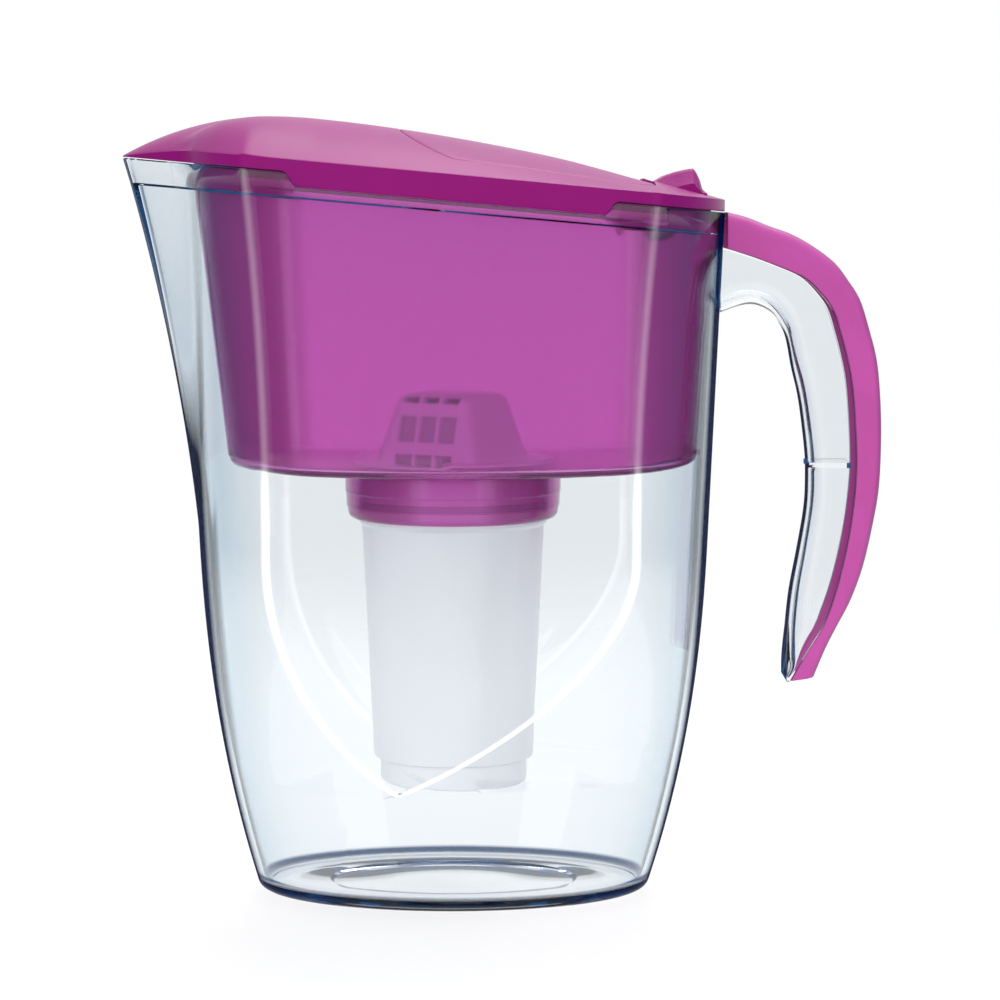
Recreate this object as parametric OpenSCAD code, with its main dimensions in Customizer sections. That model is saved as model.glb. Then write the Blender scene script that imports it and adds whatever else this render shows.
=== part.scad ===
// Slim water filter pitcher: clear jug, hopper with a cartridge, lid with a flip door.
// Millimetres. +Z is up, -X is the spout, +X is the handle, origin at the centre of the foot.

/* [Jug] */
// Height of the rim above the foot, measured over the centre of the foot
rim_h = 239.5; // [200:0.5:280]
// How steeply the rim falls towards the handle, in degrees
rim_fall = 5.2; // [3:0.1:7]
// Half length of the rim, from the centre to the handle end
rim_half_len = 92; // [84:0.5:104]
// Half width of the rim between the flat side panels
rim_half_wid = 52; // [48:0.5:60]
// Half length of the foot
foot_half_len = 66.4; // [58:0.2:74]
// Half width of the foot
foot_half_wid = 45; // [40:0.5:48]
// How far the straight part of the end walls leans outwards, mm per mm of height
wall_lean = 0.0446; // [0.02:0.002:0.07]
// Height up to which the foot of the jug draws in
belly_h = 125; // [100:1:150]
// Wall thickness below the ledge
wall_t = 3; // [2.6:0.1:3.4]
// Wall thickness above the ledge
rim_wall_t = 1.6; // [1.4:0.1:1.8]
// Depth of the ledge below the rim
ledge_depth = 7.8; // [6:0.2:10]
// Thickness of the jug's floor
floor_t = 3; // [2:0.2:5]
// Rounding of the foot's edge
foot_round = 2.6; // [1:0.2:4]

/* [Side panels] */
// Height of the lowest point of the flat side panel
panel_foot_h = 39.5; // [30:0.5:60]
// Height over which the panel widens to its full length
panel_rise = 80; // [60:1:110]
// Half length of the panel at its full width
panel_half_len = 60.5; // [52:0.5:64]
// Extra half length of the panel at the rim
panel_flare = 6.5; // [2:0.5:9]
// How far the panel's lowest point lies towards the spout
panel_skew = 17.5; // [0:0.5:24]
// How far the panel leans outwards, mm per mm of height
panel_lean = 0.0175; // [0.005:0.0025:0.03]

/* [Spout] */
// How far the tip of the spout stands out from the end wall at the rim
spout_reach = 19.5; // [12:0.5:26]
// Height at which the spout starts to leave the wall
spout_start_h = 118; // [80:1:170]
// Half width of the spout's root at the rim
spout_root = 24; // [18:0.5:27]
// Half width of the spout's root at its start
spout_root_low = 17; // [12:0.5:20]
// Roundness of the spout's nose
spout_nose = 3; // [1:0.5:6]

/* [Handle] */
// How far the handle stands out behind the jug
handle_reach = 53; // [44:1:66]
// Height of the handle from its top to its free tip
handle_drop = 158; // [130:1:180]
// Width of the handle
handle_w = 24; // [18:0.5:30]
// Wall of the clear channel and of its cover
handle_wall = 2.2; // [1.6:0.1:3]
// Depth of the cover's side walls where it meets the jug
cover_depth_top = 12; // [9:0.5:14]
// Depth of the cover's side walls along the grip
cover_depth = 8.5; // [6:0.5:11]
// Depth of the clear channel along the grip
grip_depth = 16; // [12:0.5:20]
// Depth of the clear channel where it meets the jug
root_depth = 21; // [16:0.5:26]
// Height of the stiffening web above the foot
web_h = 146; // [130:1:160]
// Thickness of the stiffening web
web_t = 1.8; // [1.2:0.1:3]

/* [Lid] */
// Height of the lid's band above the rim
band_h = 4; // [3:0.2:6]
// Highest point of the lid above the rim plane
dome_h = 18.7; // [14:0.1:23]
// How far the highest point lies from the centre towards the spout
dome_x = 47; // [35:1:60]
// Depth of the lid's side skirts below the rim
skirt_depth = 4.6; // [2:0.2:6]
// Half length of the side skirts
skirt_half_len = 54; // [40:1:58]
// Thickness of the lid's shell
lid_t = 2.2; // [1.8:0.1:2.8]
// Thickness of the locating lip
lip_t = 1.5; // [1.2:0.1:2]
// Depth of the locating lip inside the hopper
lip_depth = 3; // [2:0.5:5]

/* [Flip door] */
// Half width of the door
door_half_wid = 40; // [32:0.5:42]
// Where the straight side of the door starts, from the centre
door_side_x = 0.7; // [-8:0.1:10]
// How far the door's rounded front runs ahead of its straight side
door_nose = 18.5; // [10:0.5:24]
// Where the door's body ends in front of the thumb hump
door_end_x = 66.8; // [60:0.2:68]
// Seam round the door
door_gap = 0.5; // [0.3:0.1:0.8]
// Thickness of the door
door_t = 2.2; // [1.8:0.1:2.6]
// Width of the ledge under the door
door_ledge = 2.6; // [1.5:0.1:4]
// Half width of the thumb lever
lever_half_wid = 10.9; // [8:0.1:13]
// Height of the thumb hump above the lid's line
hump_h = 7; // [5:0.2:8]
// Radius of the hinge trunnions
hinge_r = 1.5; // [1.2:0.1:1.8]
// Running clearance of the trunnions in their bores
hinge_clear = 0.05; // [0.02:0.01:0.09]
// How far each trunnion enters its cheek
hinge_len = 2; // [1.5:0.1:2.2]

/* [Hopper] */
// Height of the hopper's floor above the foot
hopper_floor_h = 144; // [130:0.5:155]
// Wall thickness of the hopper
hopper_t = 1.8; // [1.4:0.1:2.4]
// How far the hopper's long sides stand inside the rim's outside
hopper_side_gap = 4; // [3.6:0.2:8]
// How much each long side leans in down to the floor
hopper_side_draft = 1.8; // [0.5:0.1:4]
// How far the front wall stands inside the rim's end, at the rim
hopper_front_gap = 6; // [5:0.2:12]
// How far the front wall leans in down to the floor
hopper_front_draft = 10.6; // [6:0.2:14]
// How far the rear wall stands inside the rim's end, at the rim
hopper_rear_gap = 4.4; // [4:0.2:10]
// How far the rear wall leans in down to the floor
hopper_rear_draft = 4.8; // [3:0.2:8]
// Length of the hopper's front corners along the jug
hopper_corner_len = 32.4; // [26:0.2:40]
// How much the floor rises from the socket to the ends
floor_rise = 3; // [1:0.2:5]
// Thickness of the hopper's floor
hopper_floor_t = 2.2; // [1.6:0.1:3]
// Length along the jug of the lugs that centre the hopper
lug_len = 16; // [10:0.5:20]

/* [Socket and cartridge] */
// Outer radius of the socket
socket_r = 36.8; // [35.8:0.1:39]
// Depth of the socket below the hopper's floor
socket_depth = 16.4; // [12:0.2:22]
// Radius of the cartridge's flange
flange_r = 34.9; // [34:0.1:35.2]
// Radius of the cartridge's neck
neck_r = 31.9; // [30.5:0.1:32.2]
// Radius of the cartridge's body under the neck
shell_top_r = 31; // [29:0.1:31.5]
// Radius of the cartridge's body at its lower end
shell_low_r = 27.2; // [25.8:0.1:29]
// Height of the cartridge body's lower end above the foot
shell_foot_h = 45.6; // [40:0.2:60]
// Radius of the bottom cup
cap_r = 24.9; // [22.5:0.1:25.2]
// Height of the bottom cup
cap_h = 8.6; // [6:0.2:12]
// Wall of the cartridge's pieces
shell_t = 1.6; // [1.2:0.1:2]
// Side of the hood at its foot
hood_foot = 41; // [34:0.5:43]
// Side of the hood at its top
hood_top = 28; // [22:0.5:34]
// Height of the hood above its flange
hood_h = 24.1; // [16:0.1:30]
// Turn of the hood about the vertical, in degrees
hood_turn = 60; // [0:1:90]

// Rounding of the hood's upright edges
hood_round = 4.6; // [3:0.2:6]

/* [Hidden] */
$fn = 72;

// Clearances
seat_gap = 0.3;
slip_gap = 0.8;
fit_gap = 0.4;
eps = 0.01;

// Steps round half a ring: spout, front end, side panel, rear end
spout_steps = 4;
front_steps = 6;
rear_steps = 10;
skirt_round = 4;

rim_slope = tan(rim_fall);
rim_lean_drop = rim_half_len - wall_lean * rim_h;
panel_top_h = panel_foot_h + panel_rise;
min_side = 8;

function clamp01(t) = max(0, min(1, t));
function mix(a, b, t) = a + (b - a) * t;
function rim_z(x) = rim_h - rim_slope * x;
// Height of a point that lies at level h on the jug, whose levels tilt with the rim
function level_z(x, h) = h * rim_z(x) / rim_h;
function ellipse_at(x, a, b) = b * sqrt(max(0, 1 - pow(x / a, 2)));

// Half length of the jug at level h
function jug_len(h) = rim_lean_drop + wall_lean * h
    - (rim_lean_drop - foot_half_len) * pow(max(0, 1 - h / belly_h), 2.35);
// Half width of the flat panels at level h
function panel_wid(h) = rim_half_wid - panel_lean * (rim_h - h);
// Share of the panel's rise reached at level h
function panel_t(h) = clamp01((h - panel_foot_h) / panel_rise);
function panel_mid(h) = -panel_skew * pow(1 - panel_t(h), 1.6);
function panel_half(h) = panel_half_len * pow(1 - pow(1 - panel_t(h), 2), 0.88)
    + panel_flare * pow(clamp01((h - panel_top_h) / (rim_h - panel_top_h)), 2);
// Half width of the full ellipse whose side the panel cuts, seen from the crease at x
function full_wid(h, x) = panel_wid(h) / sqrt(1 - pow(x / jug_len(h), 2));
apex_wid = full_wid(panel_foot_h, panel_skew / 2);
function low_wid(h) = foot_half_wid + (apex_wid - foot_half_wid)
    * (jug_len(h) - foot_half_len) / (jug_len(panel_foot_h) - foot_half_len);

// Share of the spout's reach at level h
function spout_t(h) = clamp01((h - spout_start_h) / (rim_h - spout_start_h));
function spout_out(h) = spout_reach * (0.38 * spout_t(h) + 0.62 * pow(spout_t(h), 2));
function spout_half(h) = mix(spout_root_low, spout_root, spout_t(h));

// A plan: [front half length, rear half length, front ellipse, rear ellipse, side width,
//          side start, side end, spout root, spout reach]
function crease_x(a, b, y) = a * sqrt(max(0, 1 - pow(y / b, 2)));
function jug_plan(h, inset) =
    let (
        low = h <= panel_foot_h,
        mid = panel_mid(h),
        half = panel_half(h),
        bf = low ? low_wid(h) : full_wid(h, mid - half),
        br = low ? low_wid(h) : full_wid(h, mid + half),
        a = jug_len(h) - inset,
        y = low ? 2 * foot_half_wid : panel_wid(h) - inset,
        spread = low ? mix(min_side, foot_half_len / 2, 1 - h / panel_foot_h) : min_side,
        xs = min(low ? 0 : -crease_x(a, bf - inset, y), mid - spread),
        xe = max(low ? mid : crease_x(a, br - inset, y), mid + spread)
    )
    [a, a, bf - inset, br - inset, y, xs, xe, spout_half(h) - 0.7 * inset, spout_out(h), inset];

// Front x of the spout at y, for a spout of the given reach and root
function spout_x(p, y) =
    let (
        out = p[8],
        x1 = crease_x(p[0], p[2], p[7]),
        tip = p[0] + out,
        k = (tip - x1) / (sqrt(pow(p[7], 2) + pow(spout_nose, 2)) - spout_nose),
        thin = p[9] * (sqrt(1 + pow(k * clamp01(out / spout_nose), 2)) - 1)
    )
    tip - thin - k * (sqrt(y * y + spout_nose * spout_nose) - spout_nose);

rim_plan = jug_plan(rim_h, 0);
side_shares = [for (x = [rim_plan[5], -skirt_half_len, -skirt_half_len + skirt_round / 2,
        -skirt_half_len + skirt_round, -skirt_half_len / 2, 0, skirt_half_len / 2,
        skirt_half_len - skirt_round, skirt_half_len - skirt_round / 2, skirt_half_len, rim_plan[6]])
    (x - rim_plan[5]) / (rim_plan[6] - rim_plan[5])];
skirt_shares = [0, 0, 0.5, 1, 1, 1, 1, 1, 0.5, 0, 0];
side_steps = len(side_shares) - 1;
half_steps = spout_steps + front_steps + side_steps + rear_steps;
ring_n = 2 * half_steps;

function side_y(p, x) = min(p[4], x < (p[5] + p[6]) / 2 ? ellipse_at(x, p[0], p[2]) : ellipse_at(x, p[1], p[3]));
// Half of a plan's outline, from the spout's tip along +Y to the rear end
function half_plan(p) =
    let (
        t1 = asin(min(1, p[7] / p[2])),
        t2 = asin(min(1, side_y(p, p[5]) / p[2])),
        t3 = asin(min(1, side_y(p, p[6]) / p[3]))
    )
    concat(
        [for (k = [0 : spout_steps - 1])
            let (y = p[7] * k / spout_steps)
            [-max(crease_x(p[0], p[2], y), spout_x(p, y)), y]],
        [for (k = [0 : front_steps - 1])
            let (t = mix(t1, t2, k / front_steps))
            [-p[0] * cos(t), p[2] * sin(t)]],
        [for (s = side_shares)
            let (x = mix(p[5], p[6], s))
            [x, side_y(p, x)]],
        [for (k = [1 : rear_steps])
            let (t = t3 * (1 - k / rear_steps))
            [p[1] * cos(t), p[3] * sin(t)]]
    );
// The whole outline: the half along +Y, then its mirror image back to the tip
function full_ring(half) = concat(half, [for (i = [half_steps - 1 : -1 : 1]) [half[i][0], -half[i][1]]]);
function mirror_index(i) = i <= half_steps ? i : ring_n - i;
function on_side(i) = mirror_index(i) - spout_steps - front_steps;
// 1 where a ring's point lies under a skirt, 0 where it doesn't
function skirt_share(i) = on_side(i) < 0 || on_side(i) > side_steps ? 0 : skirt_shares[on_side(i)];

function jug_ring(h, inset) = [for (q = full_ring(half_plan(jug_plan(h, inset)))) [q[0], q[1], level_z(q[0], h)]];
function flat_ring(h, inset, z) = [for (q = full_ring(half_plan(jug_plan(h, inset)))) [q[0], q[1], z]];
// The rim's top edge, lowered under the skirts
function rim_ring(inset, lift, dip) =
    let (ring = full_ring(half_plan(jug_plan(rim_h, inset))))
    [for (i = [0 : ring_n - 1]) [ring[i][0], ring[i][1], rim_z(ring[i][0]) + lift - dip * skirt_share(i)]];

// A closed skin through rings of equal counts; a loop joins its last ring to its first, and
// flat ends are one face each
module skin(rings, loop = false, flat_ends = false) {
    n = len(rings[0]);
    m = len(rings);
    points = [for (r = rings) each r];
    centre0 = [for (k = [0 : 2]) [for (q = rings[0]) q[k]] * [for (q = rings[0]) 1 / n]];
    centre1 = [for (k = [0 : 2]) [for (q = rings[m - 1]) q[k]] * [for (q = rings[0]) 1 / n]];
    sides = [for (i = [0 : loop ? m - 1 : m - 2]) for (j = [0 : n - 1])
        let (a = i * n + j, b = i * n + (j + 1) % n, c = ((i + 1) % m) * n + (j + 1) % n, d = ((i + 1) % m) * n + j)
        each [[a, b, c], [a, c, d]]];
    fans = [for (j = [0 : n - 1]) each [
        [m * n, (j + 1) % n, j],
        [m * n + 1, (m - 1) * n + j, (m - 1) * n + (j + 1) % n]]];
    flats = [[for (j = [n - 1 : -1 : 0]) j], [for (j = [0 : n - 1]) (m - 1) * n + j]];
    polyhedron(concat(points, loop || flat_ends ? [] : [centre0, centre1]),
        concat(sides, loop ? [] : flat_ends ? flats : fans));
}

// ---- Handle ----

handle_top_z = rim_z(rim_half_len) - 0.4;
handle_wall_x = jug_len(rim_h);
// The handle's outer line as shares of its reach and its drop, chosen by hand
handle_line = [[0, 0], [0.25, 0.028], [0.56, 0.077], [0.77, 0.146], [0.91, 0.249],
               [0.987, 0.4], [1, 0.485], [0.943, 0.675], [0.815, 0.829], [0.58, 1]];
handle_steps = 4;
handle_n = (len(handle_line) - 1) * handle_steps;
function line_at(i) = handle_line[max(0, min(len(handle_line) - 1, i))];
function smooth_at(u) =
    let (
        i = min(floor(u), len(handle_line) - 2),
        t = u - i,
        p0 = i == 0 ? 2 * line_at(0) - line_at(1) : line_at(i - 1),
        p1 = line_at(i),
        p2 = line_at(i + 1),
        p3 = i == len(handle_line) - 2 ? 2 * p2 - p1 : line_at(i + 2)
    )
    0.5 * (2 * p1 + (p2 - p0) * t + (2 * p0 - 5 * p1 + 4 * p2 - p3) * t * t
        + (3 * p1 - p0 - 3 * p2 + p3) * t * t * t);
function spine(i) =
    let (q = smooth_at(i / handle_steps))
    [handle_wall_x + seat_gap + q[0] * handle_reach, handle_top_z - q[1] * handle_drop];
function unit(v) = v / norm(v);
// Direction from the outer line towards the fingers
function inward(i) =
    let (
        t = unit(spine(min(handle_n, i + 0.5)) - spine(max(0, i - 0.5))),
        n = [t[1], -t[0]],
        from_jug = clamp01(i / 6),
        to_tip = clamp01((i - handle_n + 6) / 6)
    )
    unit(mix(mix([0, -1], n, from_jug), [-0.987, -0.16], to_tip));
function cover_at(i) = mix(cover_depth_top, cover_depth, clamp01(i / 14));
function channel_at(i) =
    let (t = i / handle_n)
    lookup(t, [[0, root_depth], [0.12, grip_depth * 0.97], [0.3, grip_depth * 1.06], [0.5, grip_depth],
               [0.76, grip_depth * 0.93], [0.88, grip_depth * 0.66], [0.96, grip_depth * 0.28], [1, 1.2]]);

// A U section: depth d, half width w, wall t, corner radius r; the first point is the open edge
function u_half(d, w, r) = [[0, w], [d - r, w], [d - 0.62 * r, w - 0.08 * r], [d - 0.29 * r, w - 0.29 * r],
                            [d - 0.08 * r, w - 0.62 * r], [d, w - r]];
function u_section(d, w, t, r) =
    let (
        outer = u_half(d, w, min(r, 0.7 * d)),
        inner = u_half(max(d - t, 0.45 * d), w - t, max(0.3, min(r - t / 2, 0.6 * max(d - t, 0.45 * d)))),
        n = len(outer)
    )
    concat(outer, [for (i = [n - 1 : -1 : 0]) [outer[i][0], -outer[i][1]]],
        [for (q = inner) [q[0], -q[1]]], [for (i = [n - 1 : -1 : 0]) inner[i]]);
// Places a section on the spine: start is its depth from the outer line, way is 1 inwards or -1 outwards
function section_ring(i, start, way, section) =
    let (c = spine(i), n = inward(i))
    [for (q = section) [c[0] + n[0] * (start + way * q[0]), q[1], c[1] + n[1] * (start + way * q[0])]];

// How deep the channel's root lies in the jug's rounded end wall
root_sink = (wall_t + handle_wall_x - ellipse_at(handle_w / 2, rim_plan[3], rim_plan[1])) / 2;

module handle_channel() {
    half = handle_w / 2;
    root = [for (q = u_section(channel_at(0), half, handle_wall, 7))
        let (z = handle_top_z - cover_at(0) - seat_gap - q[0])
        [jug_len(z * rim_h / rim_z(handle_wall_x)) - root_sink, q[1], z]];
    rings = [for (i = [0 : handle_n])
        section_ring(i, cover_at(i) + seat_gap, 1, u_section(channel_at(i), half, handle_wall, 7))];
    skin(concat([root], rings), false, true);
}

// A flat web across the channel, from its finger side to the cover
module handle_web() {
    i = min([for (k = [6 : handle_n]) spine(k)[1] < web_h ? k : handle_n]);
    x1 = spine(i)[0] - cover_at(i) - seat_gap;
    x0 = x1 - channel_at(i) + handle_wall / 2;
    translate([x0, -handle_w / 2 + handle_wall / 2, web_h - web_t / 2])
        cube([x1 - x0 - 0.8, handle_w - handle_wall, web_t]);
}

// ---- Jug ----

module jug_shell() {
    foot = [flat_ring(0, foot_round, 0), flat_ring(foot_round * 0.3, foot_round * 0.3, foot_round * 0.3)];
    levels = [foot_round, 9, 18, 28, panel_foot_h - 3, panel_foot_h + 3, panel_foot_h + 9, panel_foot_h + 18,
        panel_foot_h + 29, panel_foot_h + 41, panel_foot_h + 54, panel_foot_h + 68, panel_top_h + 5,
        panel_top_h + 30, panel_top_h + 60, panel_top_h + 90, rim_h - ledge_depth];
    outer = [for (h = levels) jug_ring(h, 0)];
    rim = [rim_ring(0, 0, skirt_depth), rim_ring(rim_wall_t, 0, skirt_depth)];
    ledge = [jug_ring(rim_h - ledge_depth, rim_wall_t), jug_ring(rim_h - ledge_depth - eps, wall_t)];
    inner = [for (i = [len(levels) - 2 : -1 : 1]) jug_ring(levels[i], wall_t)];
    bottom = [flat_ring(floor_t + 1, wall_t + 0.4, floor_t + 1), flat_ring(floor_t, wall_t + 1.6, floor_t)];
    skin(concat(foot, outer, rim, ledge, inner, bottom));
}

// Joins sculpted shells into one skin
module one_skin() {
    resize([0, 0, 0])
    union() children();
}

module jug_body() {
    color([0.86, 0.93, 0.97, 0.4])
    one_skin() {
        jug_shell();
        handle_channel();
        handle_web();
    }
}

module handle_cover() {
    half = handle_w / 2;
    color([0.62, 0.13, 0.5])
    one_skin()
    skin([for (i = [0 : handle_n])
        section_ring(i, cover_at(i), -1, u_section(cover_at(i), half, handle_wall, 3))], false, true);
}

// ---- Hopper ----

ledge_top = -ledge_depth + seat_gap;
band_in = rim_wall_t + slip_gap;
lip_in = band_in + hopper_t + fit_gap;
lug_out = slip_gap - seat_gap;
flange_t = hopper_floor_t;
hopper_half_wid = rim_half_wid - hopper_side_gap;
hopper_front = rim_half_len - hopper_front_gap;
hopper_rear = rim_half_len - hopper_rear_gap;
hopper_corner = hopper_front - hopper_corner_len;
front_flat = hopper_half_wid / 2.4;
rear_arc_x = hopper_rear - 35.6;
hopper_round = 3.4;
socket_foot_h = hopper_floor_h - socket_depth;
// Where the cartridge's flange lies on the socket's shoulder
seat_h = hopper_floor_h - 0.8;
flange_h = 2.5;
inlet_h = seat_h + seat_gap + flange_h;
bore_r = neck_r + fit_gap;

// The jug's plan with its spout left out
function oval_plan(h, inset) = let (p = jug_plan(h, inset)) [for (i = [0 : len(p) - 1]) i == 8 ? -60 : p[i]];
// A ring of that plan, lift above or below the rim
function oval_ring(inset, lift) =
    [for (q = full_ring(half_plan(oval_plan(rim_h + min(0, lift), inset)))) [q[0], q[1], level_z(q[0], rim_h + lift)]];

// Half of the hopper's plan, t = 0 at the rim and 1 at the floor
function hopper_half(t, inset) =
    let (
        xf = hopper_front - hopper_front_draft * t - inset,
        xr = hopper_rear - hopper_rear_draft * t - inset,
        xc = hopper_corner - 0.32 * hopper_front_draft * t - 0.4 * inset,
        ys = hopper_half_wid - hopper_side_draft * t - inset,
        yf = front_flat - 0.6 * inset
    )
    concat(
        [for (k = [0 : spout_steps - 1]) let (y = yf * k / spout_steps) [-xf + 1.6 * pow(y / yf, 2), y]],
        [for (k = [0 : front_steps - 1])
            let (u = k / front_steps, bow = 3 * sin(180 * u))
            [mix(1.6 - xf, -xc, u) - 0.63 * bow, mix(yf, ys, u) + 0.78 * bow]],
        [for (s = side_shares) [mix(-xc, rear_arc_x, s), ys]],
        [for (k = [1 : rear_steps])
            let (a = 90 * (1 - k / rear_steps))
            [rear_arc_x + (xr - rear_arc_x) * cos(a), ys * sin(a)]]
    );
function floor_z(x) = hopper_floor_h + floor_rise * pow(x / 80, 2);
// A level circle round the socket, with as many points as the hopper's rings
function socket_ring(z) =
    [for (q = full_ring(hopper_half(1, 0))) [unit(q)[0] * (socket_r + 1.5), unit(q)[1] * (socket_r + 1.5), z]];
function hopper_ring(t, inset, lift) =
    [for (q = full_ring(hopper_half(t, inset)))
        let (top = rim_z(q[0]) + ledge_top - 1)
        [q[0], q[1], mix(top, floor_z(q[0]), t) + lift]];

module hopper_skin() {
    r = hopper_round;
    outer = [socket_ring(hopper_floor_h), hopper_ring(1, r, 0), hopper_ring(1, 0.3 * r, 0.3 * r), hopper_ring(1, 0, r),
        hopper_ring(0.65, 0, 0), hopper_ring(0.3, 0, 0), hopper_ring(0, 0, 0)];
    band = [oval_ring(band_in + hopper_t, ledge_top), oval_ring(band_in, ledge_top),
        oval_ring(band_in, -0.5), oval_ring(band_in + hopper_t, -0.5),
        oval_ring(band_in + hopper_t, ledge_top + flange_t)];
    inner = [hopper_ring(0, hopper_t, flange_t), hopper_ring(0.3, hopper_t, 0), hopper_ring(0.65, hopper_t, 0),
        hopper_ring(1, hopper_t, hopper_floor_t + 0.7 * r), hopper_ring(1, hopper_t + 0.7 * r, hopper_floor_t),
        socket_ring(hopper_floor_h + hopper_floor_t)];
    skin(concat(outer, band, inner));
}

// The space of a lug on one side, from its end nearest the middle plane outwards
module lug_space(from_x, side, from_y) {
    translate([from_x, side > 0 ? from_y : -rim_half_wid, rim_h - rim_half_len / 3])
        cube([lug_len, rim_half_wid - from_y, rim_half_len * 0.6]);
}

// The four blocks that centre the hopper in the jug's rim
module hopper_lugs() {
    intersection() {
        skin([oval_ring(band_in + 0.7, ledge_top + 0.4), oval_ring(band_in - lug_out, ledge_top + 0.4),
            oval_ring(band_in - lug_out, -1), oval_ring(band_in + 0.7, -1)], true);
        for (side = [-1, 1]) {
            lug_space(lug_len / 2 - rim_half_len, side, rim_half_wid * 0.58);
            lug_space(rim_half_len - lug_len * 1.34, side, rim_half_wid * 0.46);
        }
    }
}

module funnel() {
    color([0.75, 0.2, 0.6, 0.6])
    difference() {
        union() {
            one_skin() {
                hopper_skin();
                hopper_lugs();
            }
            translate([0, 0, socket_foot_h])
            rotate_extrude()
            polygon([[bore_r - 0.5, 0], [socket_r - 3.4, 0], [socket_r - 2, 0.5], [socket_r - 1, 2],
                [socket_r, socket_depth - 1.5], [socket_r, socket_depth + 1], [bore_r - 0.5, socket_depth + 1]]);
        }
        translate([0, 0, socket_foot_h - 1])
            cylinder(r = bore_r, h = socket_depth + 12);
        translate([0, 0, seat_h])
            cylinder(r = flange_r + seat_gap, h = 12);
    }
}

// ---- Cartridge ----

neck_foot_h = socket_foot_h - 1.8;
seal_h = 2.2;
seal_z = socket_foot_h + 4.4;
seal_deep = 1.2;
neck_in = neck_r - seal_deep - shell_t + 0.3;
plug_r = cap_r - 2.6;
plug_len = 3.4;
felt_t = 3;
low_felt_z = shell_foot_h + plug_len + seat_gap;
media_z = low_felt_z + felt_t + seat_gap;
media_top = seal_z - 2;
up_felt_z = media_top + seat_gap;
function shell_in(h) = mix(shell_low_r, shell_top_r, (h - shell_foot_h) / (neck_foot_h - shell_foot_h)) - shell_t;

module cartridge_shell() {
    color([0.96, 0.96, 0.96])
    rotate_extrude()
    polygon([[flange_r, seat_h + seat_gap], [flange_r, inlet_h], [neck_in, inlet_h], [neck_in, neck_foot_h + 1],
        [shell_in(neck_foot_h - 4), neck_foot_h - 4], [shell_in(shell_foot_h + shell_t), shell_foot_h + shell_t],
        [plug_r + seat_gap, shell_foot_h + shell_t], [plug_r + seat_gap, shell_foot_h], [shell_low_r - 0.8, shell_foot_h],
        [shell_low_r, shell_foot_h + 0.8], [shell_top_r, neck_foot_h - 0.6], [neck_r, neck_foot_h + 0.6],
        [neck_r, seal_z], [neck_r - seal_deep, seal_z], [neck_r - seal_deep, seal_z + seal_h],
        [neck_r, seal_z + seal_h], [neck_r, seat_h + seat_gap]]);
}

module cartridge_cap() {
    foot = shell_foot_h - cap_h;
    color([0.94, 0.94, 0.94])
    difference() {
        rotate_extrude()
        polygon([[0, foot], [cap_r - 1.4, foot], [cap_r, foot + 1.4], [cap_r, shell_foot_h],
            [plug_r, shell_foot_h], [plug_r, shell_foot_h + plug_len], [plug_r - shell_t, shell_foot_h + plug_len],
            [plug_r - shell_t, foot + 2 * shell_t], [plug_r - 2 * shell_t, foot + shell_t], [0, foot + shell_t]]);
        for (k = [0 : 7])
            rotate([0, 0, 45 * k])
            translate([plug_r * 0.3, -1.2, foot - 1])
                cube([plug_r * 0.5, 2.4, shell_t + 2]);
    }
}

module seal_ring() {
    color([0.85, 0.85, 0.87])
    rotate_extrude()
    translate([neck_r - seal_deep + 0.05, seal_z + 0.1])
        square([seal_deep + fit_gap / 2 - 0.05, seal_h - 0.2]);
}

module upper_felt() {
    color([0.9, 0.9, 0.88])
    translate([0, 0, up_felt_z])
        cylinder(r = neck_in - seat_gap, h = felt_t);
}

module lower_felt() {
    color([0.9, 0.9, 0.88])
    translate([0, 0, low_felt_z])
        cylinder(r = shell_in(low_felt_z) - seat_gap, h = felt_t);
}

module filter_media() {
    color([0.3, 0.3, 0.3])
    rotate_extrude()
    polygon([[0, media_z], [shell_in(media_z) - seat_gap, media_z],
        [shell_in(neck_foot_h - 4) - seat_gap, neck_foot_h - 4.5], [neck_in - seat_gap, neck_foot_h + 0.5],
        [neck_in - seat_gap, media_top], [0, media_top]]);
}

// A rounded square slab for the hood
module hood_slab(side, z, r) {
    translate([0, 0, z])
    linear_extrude(height = 0.1)
    union() {
        square([side - 2 * r, side], center = true);
        square([side, side - 2 * r], center = true);
        for (x = [-1, 1], y = [-1, 1])
            translate([x * (side / 2 - r), y * (side / 2 - r)])
            circle(r = r, $fn = 24);
    }
}

module hood_block(grow, top_cut) {
    hull() {
        hood_slab(hood_foot - 2 * grow, 0, hood_round - grow / 2);
        hood_slab(mix(hood_foot, hood_top, 0.87) - 2 * grow, 0.87 * hood_h - top_cut, hood_round - grow / 2);
        hood_slab(hood_top - 2 * grow - 5, hood_h - top_cut - 0.1, hood_round - grow / 2);
    }
}

// Lean of the inner side of the hood's face
hood_lean = atan((hood_foot - mix(hood_foot, hood_top, 0.87)) / 2 / (0.87 * hood_h - shell_t));
window_w = hood_top / 4.2;
window_pitch = 1.165 * window_w;

// Foot and head of each row of windows, as shares of the hood's height
window_rows = [[0.075, 0.165], [0.34, 0.7], [0.88, 0.96]];

// The space of the windows, in front of the hood's flat face
module hood_windows(deep) {
    for (row = window_rows, col = [-1 : 1])
        translate([-hood_foot / 2 - 2, col * window_pitch - window_w / 2, hood_h * row[0]])
        cube([deep, window_w, hood_h * (row[1] - row[0])]);
}

module cartridge_hood() {
    color([0.97, 0.97, 0.97])
    translate([0, 0, inlet_h])
    rotate([0, 0, hood_turn])
    difference() {
        union() {
            hood_block(0, 0);
            cylinder(r = flange_r - 1.2, h = shell_t);
        }
        translate([0, 0, -eps])
            hood_block(shell_t, shell_t);
        hood_windows(hood_foot / 2);
    }
}

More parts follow.
